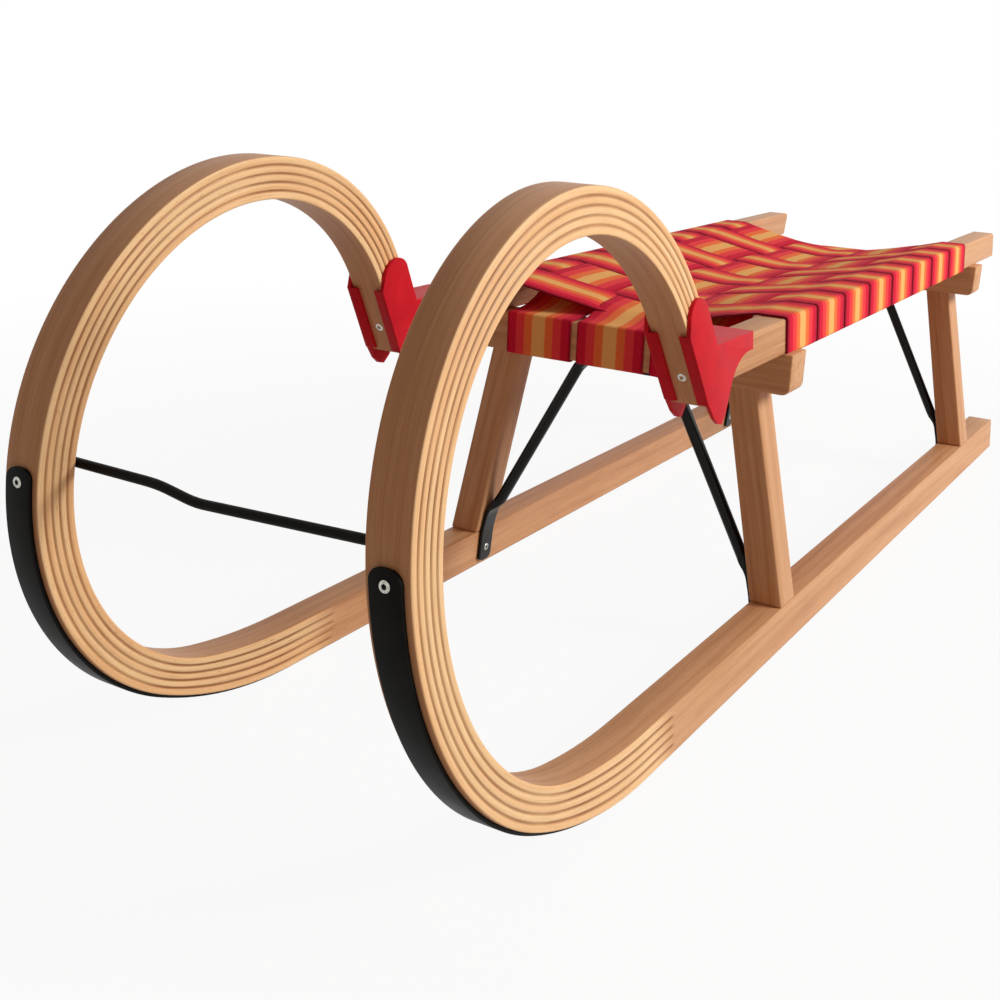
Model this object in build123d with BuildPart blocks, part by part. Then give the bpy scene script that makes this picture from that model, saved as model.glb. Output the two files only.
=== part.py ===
from build123d import *
from math import asin, atan, cos, degrees, radians, sin, sqrt, tan
import os

# A horned wooden sled with a woven webbing seat, all sizes in millimetres.
# X runs forward to the horns, Y to the sled's left and Z up from the floor.
# The origin lies on the floor under the middle of the whole sled.

# Runners: one lath each side, solid to the kerf start and closed up into bent plies beyond it
RUNNER_TRACK = 315.0
RUNNER_WIDTH = 29.0
RUNNER_DEPTH = 36.4
RUNNER_EDGE_EASE = 1.6
RUN_LENGTH = 1035.5
KERF_START = 989.0
KERF_WIDTH = 1.95
PLY_COUNT = 5
GLUE_LINE_WIDTH = 1.1
GLUE_LINE_DEPTH = 0.5
GLUE_LINE_STOP = 12.0
LEAN_SHARE = 0.0945

# Horn bends, each tangent to the last, then a straight tail cut off level in its socket
TOE_RADIUS = 314.0
TOE_TURN = 26.0
BOW_RADIUS = 182.7
BOW_TURN = 139.5
THROAT_RADIUS = 172.7
THROAT_TURN = 74.5
TAIL_BELOW_RAIL = 40.0

# Steel shoes under the runners
SHOE_SIDE_INSET = 4.0
SHOE_THICKNESS = 3.0
SHOE_BOW_TURN = 69.5
SHOE_TOP_FLAT = 4.0

# Cross beams on their legs
BEAM_HEIGHT = 34.0
BEAM_BOTTOM_HEIGHT = 222.0
BEAM_DEPTH = 32.2
BEAM_STANDOUT = 7.2
BEAM_END_ROUND = 7.0
BEAM_EDGE_EASE = 1.5
REAR_BEAM_REACH = 128.8
FRONT_BEAM_GAP = 136.6
LEG_TOP_WIDTH = 26.5
LEG_TOP_INSET = 23.8
LEG_EDGE_EASE = 2.0

# Seat rails on the beams
RAIL_HEIGHT = 28.0
RAIL_WIDTH = 24.0
RAIL_REAR_SETBACK = 46.0
RAIL_TAIL_GAP = 8.0
RAIL_END_ROUND = 6.0
RAIL_EDGE_EASE = 1.5

# Moulded sockets that hold the horns on the rails
SOCKET_WALL = 3.0
SADDLE_LENGTH = 85.0
SOCKET_LIP_WIDTH = 6.0
LIP_ABOVE_RAIL = 15.0
LIP_BELOW_RAIL = 38.0
WEB_ABOVE_RAIL = 28.0

# Webbing straps, woven over and under
STRAP_THICKNESS = 2.0
STRAP_CLEARANCE = 0.3
CROSS_STRAP_COUNT = 8
CROSS_STRAP_GAP = 2.0
SEAT_FRONT_SETBACK = 1.5
SEAT_REAR_SETBACK = 36.0
LONG_STRAP_COUNT = 3
LONG_STRAP_GAP = 6.3
LONG_STRAP_LEFT_GAP = 26.0
LONG_STRAP_RIGHT_GAP = 9.4
LONG_STRAP_TUCK = 5.5
SEAT_MIDDLE_DEPTH = 15.2
SEAT_FRONT_DEPTH = 24.5
SEAT_FLANK_DEPTH = 7.2
SEAT_REAR_DEPTH = 6.5

# Steel tube stays and the round bar behind the horns' fronts
STAY_DIAMETER = 12.0
STAY_PLATE_WIDTH = 20.0
STAY_PLATE_THICKNESS = 3.5
STAY_FOOT_BOTTOM = 8.0
STAY_FOOT_TOP = 78.0
STAY_HEAD_INNER = 5.0
STAY_HEAD_OUTER = 30.0
BAR_DIAMETER = 8.0
BAR_HEIGHT = 230.0
BAR_CLEARANCE = 0.2
BAR_END_INSET = 8.0
BAR_CRANK_DEPTH = 6.0
BAR_CRANK_START = 60.0
BAR_CRANK_END = 24.0

# Worked out from the sizes above
LEAN_ANGLE = atan(LEAN_SHARE)
BENT_DEPTH = RUNNER_DEPTH - (PLY_COUNT - 1) * KERF_WIDTH
HALF_DEPTH = BENT_DEPTH / 2
OUTER_FACE = (RUNNER_TRACK + RUNNER_WIDTH) / 2
CENTRE_HEIGHT = SHOE_THICKNESS + HALF_DEPTH
BOW_CENTRE_REACH = RUN_LENGTH + (TOE_RADIUS - BOW_RADIUS) * sin(radians(TOE_TURN))
BOW_CENTRE_HEIGHT = CENTRE_HEIGHT + TOE_RADIUS - (TOE_RADIUS - BOW_RADIUS) * cos(radians(TOE_TURN))
HORN_REACH = BOW_CENTRE_REACH + BOW_RADIUS + HALF_DEPTH + SHOE_THICKNESS
HEEL = -HORN_REACH / 2
HORN_TURN = TOE_TURN + BOW_TURN + THROAT_TURN
TAIL_SLOPE = radians(HORN_TURN - 180)
RUNNER_TOP = (SHOE_THICKNESS + RUNNER_DEPTH) * cos(LEAN_ANGLE)
BEAM_TOP = BEAM_BOTTOM_HEIGHT + BEAM_HEIGHT
RAIL_BOTTOM = BEAM_TOP
RAIL_TOP = RAIL_BOTTOM + RAIL_HEIGHT
TAIL_END = RAIL_TOP - TAIL_BELOW_RAIL
HANDS = (("left", 1), ("right", -1))

os.makedirs("parts", exist_ok=True)


def save(piece, name):
    """Label a finished piece and write its file."""
    piece.part.label = name
    export_step(piece.part, f"parts/{name}.step")


def outer_face(height):
    """Distance of a side's outer face from the middle at a height."""
    return OUTER_FACE - LEAN_SHARE * height


def inner_face(height, width=RUNNER_WIDTH):
    """Distance from the middle of the inner face of a piece in line with the runner, at a height."""
    return outer_face(height) - width


def side_plane(hand, inset=0):
    """Leaning side of the sled: local x runs forward, local y climbs the side."""
    return Plane(
        origin=(0, hand * (OUTER_FACE - inset), 0),
        x_dir=(1, 0, 0),
        z_dir=(0, -cos(LEAN_ANGLE), -hand * sin(LEAN_ANGLE)),
    )


def climb(height):
    """Length up the leaning side that reaches a height."""
    return height / cos(LEAN_ANGLE)


def tail_reach(height, offset=0):
    """Forward place of the horn's straight tail at a height, offset outward from its centre line."""
    bend = radians(TOE_TURN + BOW_TURN)
    throat_x = HEEL + BOW_CENTRE_REACH + (BOW_RADIUS - THROAT_RADIUS) * sin(bend)
    throat_y = BOW_CENTRE_HEIGHT - (BOW_RADIUS - THROAT_RADIUS) * cos(bend)
    end_x = throat_x - THROAT_RADIUS * sin(TAIL_SLOPE)
    end_y = throat_y + THROAT_RADIUS * cos(TAIL_SLOPE)
    return end_x + (climb(height) - end_y) / tan(TAIL_SLOPE) - offset / sin(TAIL_SLOPE)


def ply_line(share, shift=0):
    """Level in the run and radius in the bow at a share of the lath's depth, shifted upward and inward."""
    level = SHOE_THICKNESS + share * RUNNER_DEPTH + shift
    radius = BOW_RADIUS + HALF_DEPTH - share * BENT_DEPTH - shift
    return level, radius


def bent_line(level, radius, start, end_height=None, bow_turn=BOW_TURN):
    """Line along the run and the bow, and on to a height of the tail if one is given."""
    forward = BOW_CENTRE_REACH - RUN_LENGTH
    rise = level - BOW_CENTRE_HEIGHT
    toe_radius = (radius**2 - forward**2 - rise**2) / (2 * (rise + radius))
    toe_turn = degrees(asin(forward / (toe_radius - radius)))
    run = Line((start, level), (HEEL + RUN_LENGTH, level))
    toe = JernArc(run @ 1, run % 1, toe_radius, toe_turn)
    bow = JernArc(toe @ 1, toe % 1, radius, bow_turn + TOE_TURN - toe_turn)
    if end_height is None:
        return run @ 0, bow @ 1
    throat = JernArc(bow @ 1, bow % 1, radius - BOW_RADIUS + THROAT_RADIUS, THROAT_TURN)
    drop = (throat @ 1).Y - climb(end_height)
    tail = Line(throat @ 1, (throat @ 1) - Vector(drop / tan(TAIL_SLOPE), drop))
    return run @ 0, tail @ 1


def bent_strip(outer, inner, start, end_height=None, bow_turn=BOW_TURN):
    """Flat strip between two such lines, each given by its level and radius."""
    with BuildSketch() as strip:
        with BuildLine():
            outer_start, outer_end = bent_line(*outer, start, end_height, bow_turn)
            inner_start, inner_end = bent_line(*inner, start, end_height, bow_turn)
            Line(outer_start, inner_start)
            Line(outer_end, inner_end)
        make_face()
    return strip.sketch


# Places that other pieces are set from
RAIL_OUTER = outer_face(RAIL_TOP)
RAIL_INNER = inner_face(RAIL_TOP, RAIL_WIDTH)
RAIL_REAR = HEEL + RAIL_REAR_SETBACK
RAIL_FRONT = tail_reach(RAIL_BOTTOM, HALF_DEPTH) - RAIL_TAIL_GAP
BEAM_LENGTH = 2 * (outer_face(RAIL_BOTTOM) + BEAM_STANDOUT)
REAR_BEAM_X = HEEL + REAR_BEAM_REACH
FRONT_BEAM_X = tail_reach(TAIL_END) - FRONT_BEAM_GAP - BEAM_DEPTH
ENDS = (("front", FRONT_BEAM_X), ("rear", REAR_BEAM_X))

# Runners with their horns: solid from the heel to the kerfs, five glued plies beyond
lath_outline = bent_strip(ply_line(0), ply_line(1), HEEL, TAIL_END)
half_line = GLUE_LINE_WIDTH / 2
glue_lines = []
for ply in range(1, PLY_COUNT):
    ply_share = ply / PLY_COUNT
    line_edges = (ply_line(ply_share, -half_line), ply_line(ply_share, half_line))
    glue_lines.append(bent_strip(*line_edges, HEEL + KERF_START, TAIL_END + GLUE_LINE_STOP))
for side, hand in HANDS:
    inward = (0, -hand, 0)
    with BuildPart() as runner:
        with BuildSketch(side_plane(hand)):
            add(lath_outline)
        extrude(amount=RUNNER_WIDTH, dir=inward)
        chamfer(runner.edges().filter_by(Axis.Y, reverse=True), RUNNER_EDGE_EASE)
        for face_inset in (0, RUNNER_WIDTH - GLUE_LINE_DEPTH):
            with BuildSketch(side_plane(hand, face_inset)):
                add(glue_lines)
            extrude(amount=GLUE_LINE_DEPTH, dir=inward, mode=Mode.SUBTRACT)
    save(runner, f"runner_{side}")

# Steel shoes, bent up the front of each horn and rounded at the top
shoe_width = RUNNER_WIDTH - 2 * SHOE_SIDE_INSET
shoe_outer = (0, BOW_RADIUS + HALF_DEPTH + SHOE_THICKNESS)
shoe_outline = bent_strip(shoe_outer, ply_line(0), HEEL, bow_turn=SHOE_BOW_TURN)
for side, hand in HANDS:
    with BuildPart() as shoe:
        with BuildSketch(side_plane(hand, SHOE_SIDE_INSET)):
            add(shoe_outline)
        extrude(amount=shoe_width, dir=(0, -hand, 0))
        top_edges = shoe.edges().group_by(Axis.Z)[-1] + shoe.edges().group_by(Axis.Z)[-2]
        fillet(top_edges.filter_by(lambda edge: edge.length < shoe_width / 2), (shoe_width - SHOE_TOP_FLAT) / 2)
    save(shoe, f"shoe_{side}")

# Legs: tapered and leaning inward from the runner to the beam
LEG_TOP_OUTER = outer_face(BEAM_BOTTOM_HEIGHT) - LEG_TOP_INSET
LEG_TOP_INNER = LEG_TOP_OUTER - LEG_TOP_WIDTH
for end, leg_x in ENDS:
    for side, hand in HANDS:
        with BuildPart() as leg:
            with BuildSketch(Plane.YZ.offset(leg_x)):
                Polygon(
                    (hand * outer_face(RUNNER_TOP), RUNNER_TOP),
                    (hand * LEG_TOP_OUTER, BEAM_BOTTOM_HEIGHT),
                    (hand * LEG_TOP_INNER, BEAM_BOTTOM_HEIGHT),
                    (hand * inner_face(RUNNER_TOP), RUNNER_TOP),
                    align=None,
                )
            extrude(amount=BEAM_DEPTH)
            chamfer(leg.edges().filter_by(lambda edge: edge.length > BEAM_BOTTOM_HEIGHT / 2), LEG_EDGE_EASE)
        save(leg, f"{end}_leg_{side}")

# Cross beams, rounded at their lower ends and eased along their top edges
for end, beam_x in ENDS:
    with BuildPart() as beam:
        with BuildSketch(Plane.XY.offset(BEAM_BOTTOM_HEIGHT)):
            with Locations((beam_x + BEAM_DEPTH / 2, 0)):
                Rectangle(BEAM_DEPTH, BEAM_LENGTH)
        extrude(amount=BEAM_HEIGHT)
        fillet(beam.edges().filter_by(Axis.X).group_by(Axis.Z)[0], BEAM_END_ROUND)
        chamfer(beam.edges().filter_by(Axis.Y).group_by(Axis.Z)[-1], BEAM_EDGE_EASE)
    save(beam, f"{end}_beam")

# Seat rails on the beams, in line with the leaning horns
for side, hand in HANDS:
    with BuildPart() as rail:
        with BuildSketch(side_plane(hand)):
            with Locations((RAIL_REAR, climb(RAIL_BOTTOM))):
                Rectangle(RAIL_FRONT - RAIL_REAR, climb(RAIL_HEIGHT), align=(Align.MIN, Align.MIN))
        extrude(amount=RAIL_WIDTH, dir=(0, -hand, 0))
        fillet(rail.edges().filter_by(Axis.Y).group_by(Axis.X)[0].sort_by(Axis.Z)[-1:], RAIL_END_ROUND)
        chamfer(rail.edges().filter_by(Axis.X), RAIL_EDGE_EASE)
    save(rail, f"rail_{side}")

# Horn sockets: cheeks beside the tail, lips before it, a web behind it and a saddle on the rail
# Cheek outline as lengths forward of the tail's centre line at a height, and up from the rail's top
CHEEK_CROWN_LENGTHS = ((-20.0, 31.0), (-9.0, 40.0), (10.0, 29.0))
CHEEK_FRONT_LENGTHS = ((10.0, 29.0), (20.0, 15.0), (20.0, -34.0), (17.0, -48.5), (13.0, -54.0))
CHEEK_REAR_LENGTHS = ((13.0, -54.0), (7.0, -55.5), (-3.0, -49.5), (-27.0, -29.0))
CHEEK_HOLLOW_LENGTHS = (-50.0, -15.5)
SADDLE_REAR_DROP_LENGTH = 11.0


def cheek_points(lengths):
    """Places on the leaning side from lengths forward of the tail and up from the rail's top."""
    return [(tail_reach(RAIL_TOP + up) + forward, climb(RAIL_TOP + up)) for forward, up in lengths]


def tail_corners(outer, inner, low, high):
    """Corners of a level-ended stretch of the horn's tail between two offsets and two heights."""
    return [
        (tail_reach(low, outer), climb(low)),
        (tail_reach(high, outer), climb(high)),
        (tail_reach(high, inner), climb(high)),
        (tail_reach(low, inner), climb(low)),
    ]


saddle_rear = tail_reach(RAIL_TOP) - SADDLE_LENGTH
saddle_top = climb(RAIL_TOP + SOCKET_WALL)
saddle_front = tail_reach(RAIL_TOP + SOCKET_WALL, HALF_DEPTH + SOCKET_WALL)
cheek_rear_low = (saddle_rear, climb(RAIL_TOP - SADDLE_REAR_DROP_LENGTH))
cheek_rear_line = [cheek_rear_low, (saddle_rear, saddle_top), (saddle_front, saddle_top)]
lip_corners = tail_corners(
    -HALF_DEPTH, -HALF_DEPTH - SOCKET_WALL, RAIL_TOP - LIP_BELOW_RAIL, RAIL_TOP + LIP_ABOVE_RAIL
)
web_corners = tail_corners(HALF_DEPTH + SOCKET_WALL, HALF_DEPTH, RAIL_TOP, RAIL_TOP + WEB_ABOVE_RAIL)
saddle_corners = [
    (saddle_rear, climb(RAIL_TOP)),
    (saddle_rear, saddle_top),
    (tail_reach(RAIL_TOP + SOCKET_WALL, HALF_DEPTH), saddle_top),
    (tail_reach(RAIL_TOP, HALF_DEPTH), climb(RAIL_TOP)),
]
for side, hand in HANDS:
    inward = (0, -hand, 0)
    with BuildPart() as socket:
        for cheek_inset in (-SOCKET_WALL, RUNNER_WIDTH):
            with BuildSketch(side_plane(hand, cheek_inset)):
                with BuildLine():
                    Polyline(*cheek_rear_line, *cheek_points(CHEEK_CROWN_LENGTHS[:1]))
                    ThreePointArc(*cheek_points(CHEEK_CROWN_LENGTHS))
                    Polyline(*cheek_points(CHEEK_FRONT_LENGTHS))
                    Polyline(*cheek_points(CHEEK_REAR_LENGTHS))
                    hollow_points = cheek_points((CHEEK_REAR_LENGTHS[-1], CHEEK_HOLLOW_LENGTHS))
                    ThreePointArc(*hollow_points, cheek_rear_low)
                make_face()
            extrude(amount=SOCKET_WALL, dir=inward)
        for lip_inset in (-SOCKET_WALL, RUNNER_WIDTH - SOCKET_LIP_WIDTH):
            with BuildSketch(side_plane(hand, lip_inset)):
                Polygon(*lip_corners, align=None)
            extrude(amount=SOCKET_LIP_WIDTH + SOCKET_WALL, dir=inward)
        for corners in (web_corners, saddle_corners):
            with BuildSketch(side_plane(hand, -SOCKET_WALL)):
                Polygon(*corners, align=None)
            extrude(amount=RUNNER_WIDTH + 2 * SOCKET_WALL, dir=inward)
    save(socket, f"horn_socket_{side}")

# Stays: a tube between a flat foot on the runner and leg and a flat head under the beam
LEG_INNER_SLOPE = (inner_face(RUNNER_TOP) - LEG_TOP_INNER) / (BEAM_BOTTOM_HEIGHT - RUNNER_TOP)
STAY_FOOT_TOP_Y = inner_face(RUNNER_TOP) - LEG_INNER_SLOPE * (STAY_FOOT_TOP - RUNNER_TOP)
STAY_FOOT_POINTS = (
    (inner_face(STAY_FOOT_BOTTOM), STAY_FOOT_BOTTOM),
    (inner_face(RUNNER_TOP), RUNNER_TOP),
    (STAY_FOOT_TOP_Y, STAY_FOOT_TOP),
    (STAY_FOOT_TOP_Y - STAY_PLATE_THICKNESS, STAY_FOOT_TOP),
    (inner_face(RUNNER_TOP) - STAY_PLATE_THICKNESS, RUNNER_TOP),
    (inner_face(STAY_FOOT_BOTTOM) - STAY_PLATE_THICKNESS, STAY_FOOT_BOTTOM),
)
STAY_HEAD_POINTS = (
    (STAY_HEAD_INNER, BEAM_BOTTOM_HEIGHT),
    (STAY_HEAD_OUTER, BEAM_BOTTOM_HEIGHT),
    (STAY_HEAD_OUTER, BEAM_BOTTOM_HEIGHT - STAY_PLATE_THICKNESS),
    (STAY_HEAD_INNER, BEAM_BOTTOM_HEIGHT - STAY_PLATE_THICKNESS),
)
for end, beam_x in ENDS:
    middle_x = beam_x + BEAM_DEPTH / 2
    for side, hand in HANDS:
        tube_foot = Vector(middle_x, hand * (STAY_FOOT_TOP_Y - STAY_DIAMETER / 2), STAY_FOOT_TOP - STAY_DIAMETER / 2)
        tube_head = Vector(middle_x, hand * STAY_HEAD_OUTER, BEAM_BOTTOM_HEIGHT)
        tube_run = tube_head - tube_foot
        with BuildPart() as stay:
            with BuildSketch(Plane(origin=tube_foot, x_dir=(1, 0, 0), z_dir=tube_run)):
                Circle(STAY_DIAMETER / 2)
            extrude(amount=tube_run.length)
            with BuildSketch(Plane.XY.offset(BEAM_BOTTOM_HEIGHT)):
                with Locations((middle_x, 0)):
                    Rectangle(BEAM_DEPTH, BEAM_LENGTH)
            extrude(amount=BEAM_HEIGHT, mode=Mode.SUBTRACT)
            with BuildSketch(Plane.YZ.offset(middle_x - STAY_PLATE_WIDTH / 2)):
                for points in (STAY_FOOT_POINTS, STAY_HEAD_POINTS):
                    Polygon(*[(hand * across, up) for across, up in points], align=None)
            extrude(amount=STAY_PLATE_WIDTH)
        save(stay, f"{end}_stay_{side}")

# Round bar against the hollow side of both horns' fronts, dropped a little in the middle
bar_radius = BOW_RADIUS - HALF_DEPTH - BAR_DIAMETER / 2 - BAR_CLEARANCE
bar_rise = climb(BAR_HEIGHT) - BOW_CENTRE_HEIGHT
bar_x = HEEL + BOW_CENTRE_REACH + sqrt(bar_radius**2 - bar_rise**2)
bar_end_y = outer_face(BAR_HEIGHT) - BAR_END_INSET
BAR_HALF_POINTS = (
    (bar_end_y, BAR_HEIGHT),
    (BAR_CRANK_START, BAR_HEIGHT),
    (BAR_CRANK_END, BAR_HEIGHT - BAR_CRANK_DEPTH),
)
with BuildPart() as bar:
    with BuildLine() as bar_line:
        Polyline(
            *[(bar_x, across, up) for across, up in BAR_HALF_POINTS],
            *[(bar_x, -across, up) for across, up in reversed(BAR_HALF_POINTS)],
        )
    with BuildSketch(Plane(origin=bar_line.line @ 0, z_dir=bar_line.line % 0)):
        Circle(BAR_DIAMETER / 2)
    sweep(transition=Transition.RIGHT)
save(bar, "horn_bar")

# Webbing: straps keep half a thickness and half a clearance above or below the seat's level
WEAVE_LIFT = (STRAP_THICKNESS + STRAP_CLEARANCE) / 2
SEAT_FRONT = FRONT_BEAM_X + BEAM_DEPTH - SEAT_FRONT_SETBACK
SEAT_REAR = REAR_BEAM_X + BEAM_DEPTH + SEAT_REAR_SETBACK
CROSS_STRAP_PITCH = (SEAT_FRONT - SEAT_REAR + CROSS_STRAP_GAP) / CROSS_STRAP_COUNT
CROSS_STRAP_WIDTH = CROSS_STRAP_PITCH - CROSS_STRAP_GAP
LONG_STRAP_ROOM = 2 * RAIL_INNER - LONG_STRAP_LEFT_GAP - LONG_STRAP_RIGHT_GAP
LONG_STRAP_PITCH = (LONG_STRAP_ROOM + LONG_STRAP_GAP) / LONG_STRAP_COUNT
LONG_STRAP_WIDTH = LONG_STRAP_PITCH - LONG_STRAP_GAP
LONG_STRAP_START = LONG_STRAP_RIGHT_GAP - RAIL_INNER
LONG_DEPTHS = (SEAT_FLANK_DEPTH, SEAT_MIDDLE_DEPTH, SEAT_FLANK_DEPTH)


def long_over(cross_index, long_index):
    """Whether a long strap passes over a cross strap."""
    return (cross_index + long_index) % 2 == 1


def strap_bottom(cross_index, depth, raised):
    """Height of a strap's underside where it crosses: lower towards the rear, and drawn down at the front."""
    if cross_index == 0 and depth == SEAT_MIDDLE_DEPTH:
        depth = SEAT_FRONT_DEPTH
    drop = SEAT_REAR_DEPTH * cross_index / (CROSS_STRAP_COUNT - 1)
    return RAIL_TOP - depth - drop - STRAP_THICKNESS / 2 + (WEAVE_LIFT if raised else -WEAVE_LIFT)


def ribbon(lower):
    """Corners of a strap's outline from its lower line, one strap thickness high."""
    return lower + [(along, up + STRAP_THICKNESS) for along, up in reversed(lower)]


# Strap round a rail: over it, down its outer face and under it
RAIL_WRAP = (
    (RAIL_INNER, RAIL_TOP),
    (RAIL_OUTER, RAIL_TOP),
    (outer_face(RAIL_BOTTOM), RAIL_BOTTOM),
    (inner_face(RAIL_BOTTOM, RAIL_WIDTH), RAIL_BOTTOM),
    (inner_face(RAIL_BOTTOM, RAIL_WIDTH), RAIL_BOTTOM - STRAP_THICKNESS),
    (outer_face(RAIL_BOTTOM) + STRAP_THICKNESS, RAIL_BOTTOM - STRAP_THICKNESS),
    (RAIL_OUTER + STRAP_THICKNESS, RAIL_TOP + STRAP_THICKNESS),
    (RAIL_INNER, RAIL_TOP + STRAP_THICKNESS),
)

# Cross straps run over the rails, down their outer faces and under them
for cross_index in range(CROSS_STRAP_COUNT):
    strap_rear = SEAT_FRONT - cross_index * CROSS_STRAP_PITCH - CROSS_STRAP_WIDTH
    span = [(-RAIL_INNER, RAIL_TOP)]
    for long_index, depth in enumerate(LONG_DEPTHS):
        bottom = strap_bottom(cross_index, depth, not long_over(cross_index, long_index))
        long_right = LONG_STRAP_START + long_index * LONG_STRAP_PITCH
        span.append((long_right, bottom))
        span.append((long_right + LONG_STRAP_WIDTH, bottom))
    span.append((RAIL_INNER, RAIL_TOP))
    with BuildPart() as cross_strap:
        with BuildSketch(Plane.YZ.offset(strap_rear)):
            Polygon(*ribbon(span), align=None)
            for hand in (1, -1):
                Polygon(*[(hand * across, up) for across, up in RAIL_WRAP], align=None)
        extrude(amount=CROSS_STRAP_WIDTH)
        with BuildSketch(Plane.XY.offset(BEAM_BOTTOM_HEIGHT)):
            with Locations(*[(beam_x + BEAM_DEPTH / 2, 0) for end, beam_x in ENDS]):
                Rectangle(BEAM_DEPTH + 2 * STRAP_CLEARANCE, BEAM_LENGTH)
        extrude(amount=BEAM_HEIGHT + STRAP_CLEARANCE, mode=Mode.SUBTRACT)
    save(cross_strap, f"cross_strap_{cross_index + 1}")

# Long straps rise over the front beam, weave to the rear beam and are tucked under both
front_face_x = FRONT_BEAM_X + BEAM_DEPTH
leg_room_width = LEG_TOP_WIDTH + 2 * STRAP_CLEARANCE
leg_room_y = LEG_TOP_INNER + LEG_TOP_WIDTH / 2
for long_index, depth in enumerate(LONG_DEPTHS):
    path = [(front_face_x, BEAM_TOP)]
    for cross_index in range(CROSS_STRAP_COUNT):
        bottom = strap_bottom(cross_index, depth, long_over(cross_index, long_index))
        strap_front = SEAT_FRONT - cross_index * CROSS_STRAP_PITCH
        if cross_index > 0 or long_over(cross_index, long_index):
            path.append((strap_front + STRAP_CLEARANCE, bottom))
        path.append((strap_front - CROSS_STRAP_WIDTH - STRAP_CLEARANCE, bottom))
    path.append((REAR_BEAM_X, BEAM_TOP))
    with BuildPart() as long_strap:
        long_left = LONG_STRAP_START + long_index * LONG_STRAP_PITCH + LONG_STRAP_WIDTH
        with BuildSketch(Plane.XZ.offset(-long_left)):
            Polygon(*ribbon(path), align=None)
            for face_x, outward in ((front_face_x, 1), (REAR_BEAM_X, -1)):
                Polygon(
                    (face_x, BEAM_TOP + STRAP_THICKNESS),
                    (face_x + outward * STRAP_THICKNESS, BEAM_TOP + STRAP_THICKNESS),
                    (face_x + outward * STRAP_THICKNESS, BEAM_BOTTOM_HEIGHT - STRAP_THICKNESS),
                    (face_x - outward * LONG_STRAP_TUCK, BEAM_BOTTOM_HEIGHT - STRAP_THICKNESS),
                    (face_x - outward * LONG_STRAP_TUCK, BEAM_BOTTOM_HEIGHT),
                    (face_x, BEAM_BOTTOM_HEIGHT),
                    align=None,
                )
        extrude(amount=LONG_STRAP_WIDTH)
        with BuildSketch(Plane.XY.offset(BEAM_BOTTOM_HEIGHT)):
            for side, hand in HANDS:
                with Locations(*[(beam_x + BEAM_DEPTH / 2, hand * leg_room_y) for end, beam_x in ENDS]):
                    Rectangle(BEAM_DEPTH, leg_room_width)
        extrude(amount=-STRAP_THICKNESS, mode=Mode.SUBTRACT)
    save(long_strap, f"long_strap_{long_index + 1}")
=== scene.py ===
import logging
import math
from dataclasses import dataclass
from enum import Enum
from typing import Optional, Sequence, Union

import bmesh
import bpy
import numpy as np
from mathutils import Matrix, Vector


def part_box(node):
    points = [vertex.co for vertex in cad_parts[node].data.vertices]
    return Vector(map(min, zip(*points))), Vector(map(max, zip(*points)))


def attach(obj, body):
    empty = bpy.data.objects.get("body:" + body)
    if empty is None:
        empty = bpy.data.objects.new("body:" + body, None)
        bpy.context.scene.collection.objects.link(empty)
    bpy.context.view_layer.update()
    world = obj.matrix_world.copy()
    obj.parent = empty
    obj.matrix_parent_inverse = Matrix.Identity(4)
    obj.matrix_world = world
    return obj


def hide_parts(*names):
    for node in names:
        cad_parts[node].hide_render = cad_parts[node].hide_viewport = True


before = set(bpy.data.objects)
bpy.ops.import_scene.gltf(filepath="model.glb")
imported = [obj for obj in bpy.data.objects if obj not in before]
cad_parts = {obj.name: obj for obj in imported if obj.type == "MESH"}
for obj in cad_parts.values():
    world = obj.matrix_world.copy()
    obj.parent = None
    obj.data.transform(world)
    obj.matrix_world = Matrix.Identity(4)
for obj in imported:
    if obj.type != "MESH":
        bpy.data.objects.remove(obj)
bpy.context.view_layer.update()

logging.basicConfig(level=logging.INFO, format="%(message)s")
log = logging.getLogger("sled")

# Every size below is in millimetres unless its name says otherwise; meshes are made in metres.
MM = 0.001
HEEL = -646.53
SMOOTH_ANGLE = math.radians(38)

# What a node's input takes: a number, a colour or place, or another node's output
Given = Union[float, tuple, bpy.types.NodeSocket]


class Hand(Enum):
    """The two sides of the sled, by the sign of their Y."""

    LEFT = 1
    RIGHT = -1

    @property
    def word(self) -> str:
        """The side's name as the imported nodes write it."""
        return self.name.lower()


class End(Enum):
    """The two trestles, by the word in their nodes' names."""

    FRONT = "front"
    REAR = "rear"

    def reach(self) -> tuple[float, float]:
        """Rear and front face of the trestle's beam."""
        low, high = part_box(f"{self.value}_beam")
        return low.x / MM, high.x / MM


# ---- Mesh helpers


def ring_skin(rings: np.ndarray, closed: bool = False) -> tuple[np.ndarray, list]:
    """Skin a row of rings of points.

    Args:
        rings: Points in millimetres, shaped stations by ring points by three.
        closed: Whether the last ring joins the first; otherwise both ends are capped.

    Returns:
        The points as one list and the faces over them.
    """
    stations, size = rings.shape[:2]
    faces = []
    for row in range(stations if closed else stations - 1):
        here, there = row * size, ((row + 1) % stations) * size
        for spot in range(size):
            after = (spot + 1) % size
            faces.append((here + spot, here + after, there + after, there + spot))
    if not closed:
        faces.append(tuple(range(size - 1, -1, -1)))
        faces.append(tuple((stations - 1) * size + spot for spot in range(size)))
    return rings.reshape(-1, 3), faces


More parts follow.
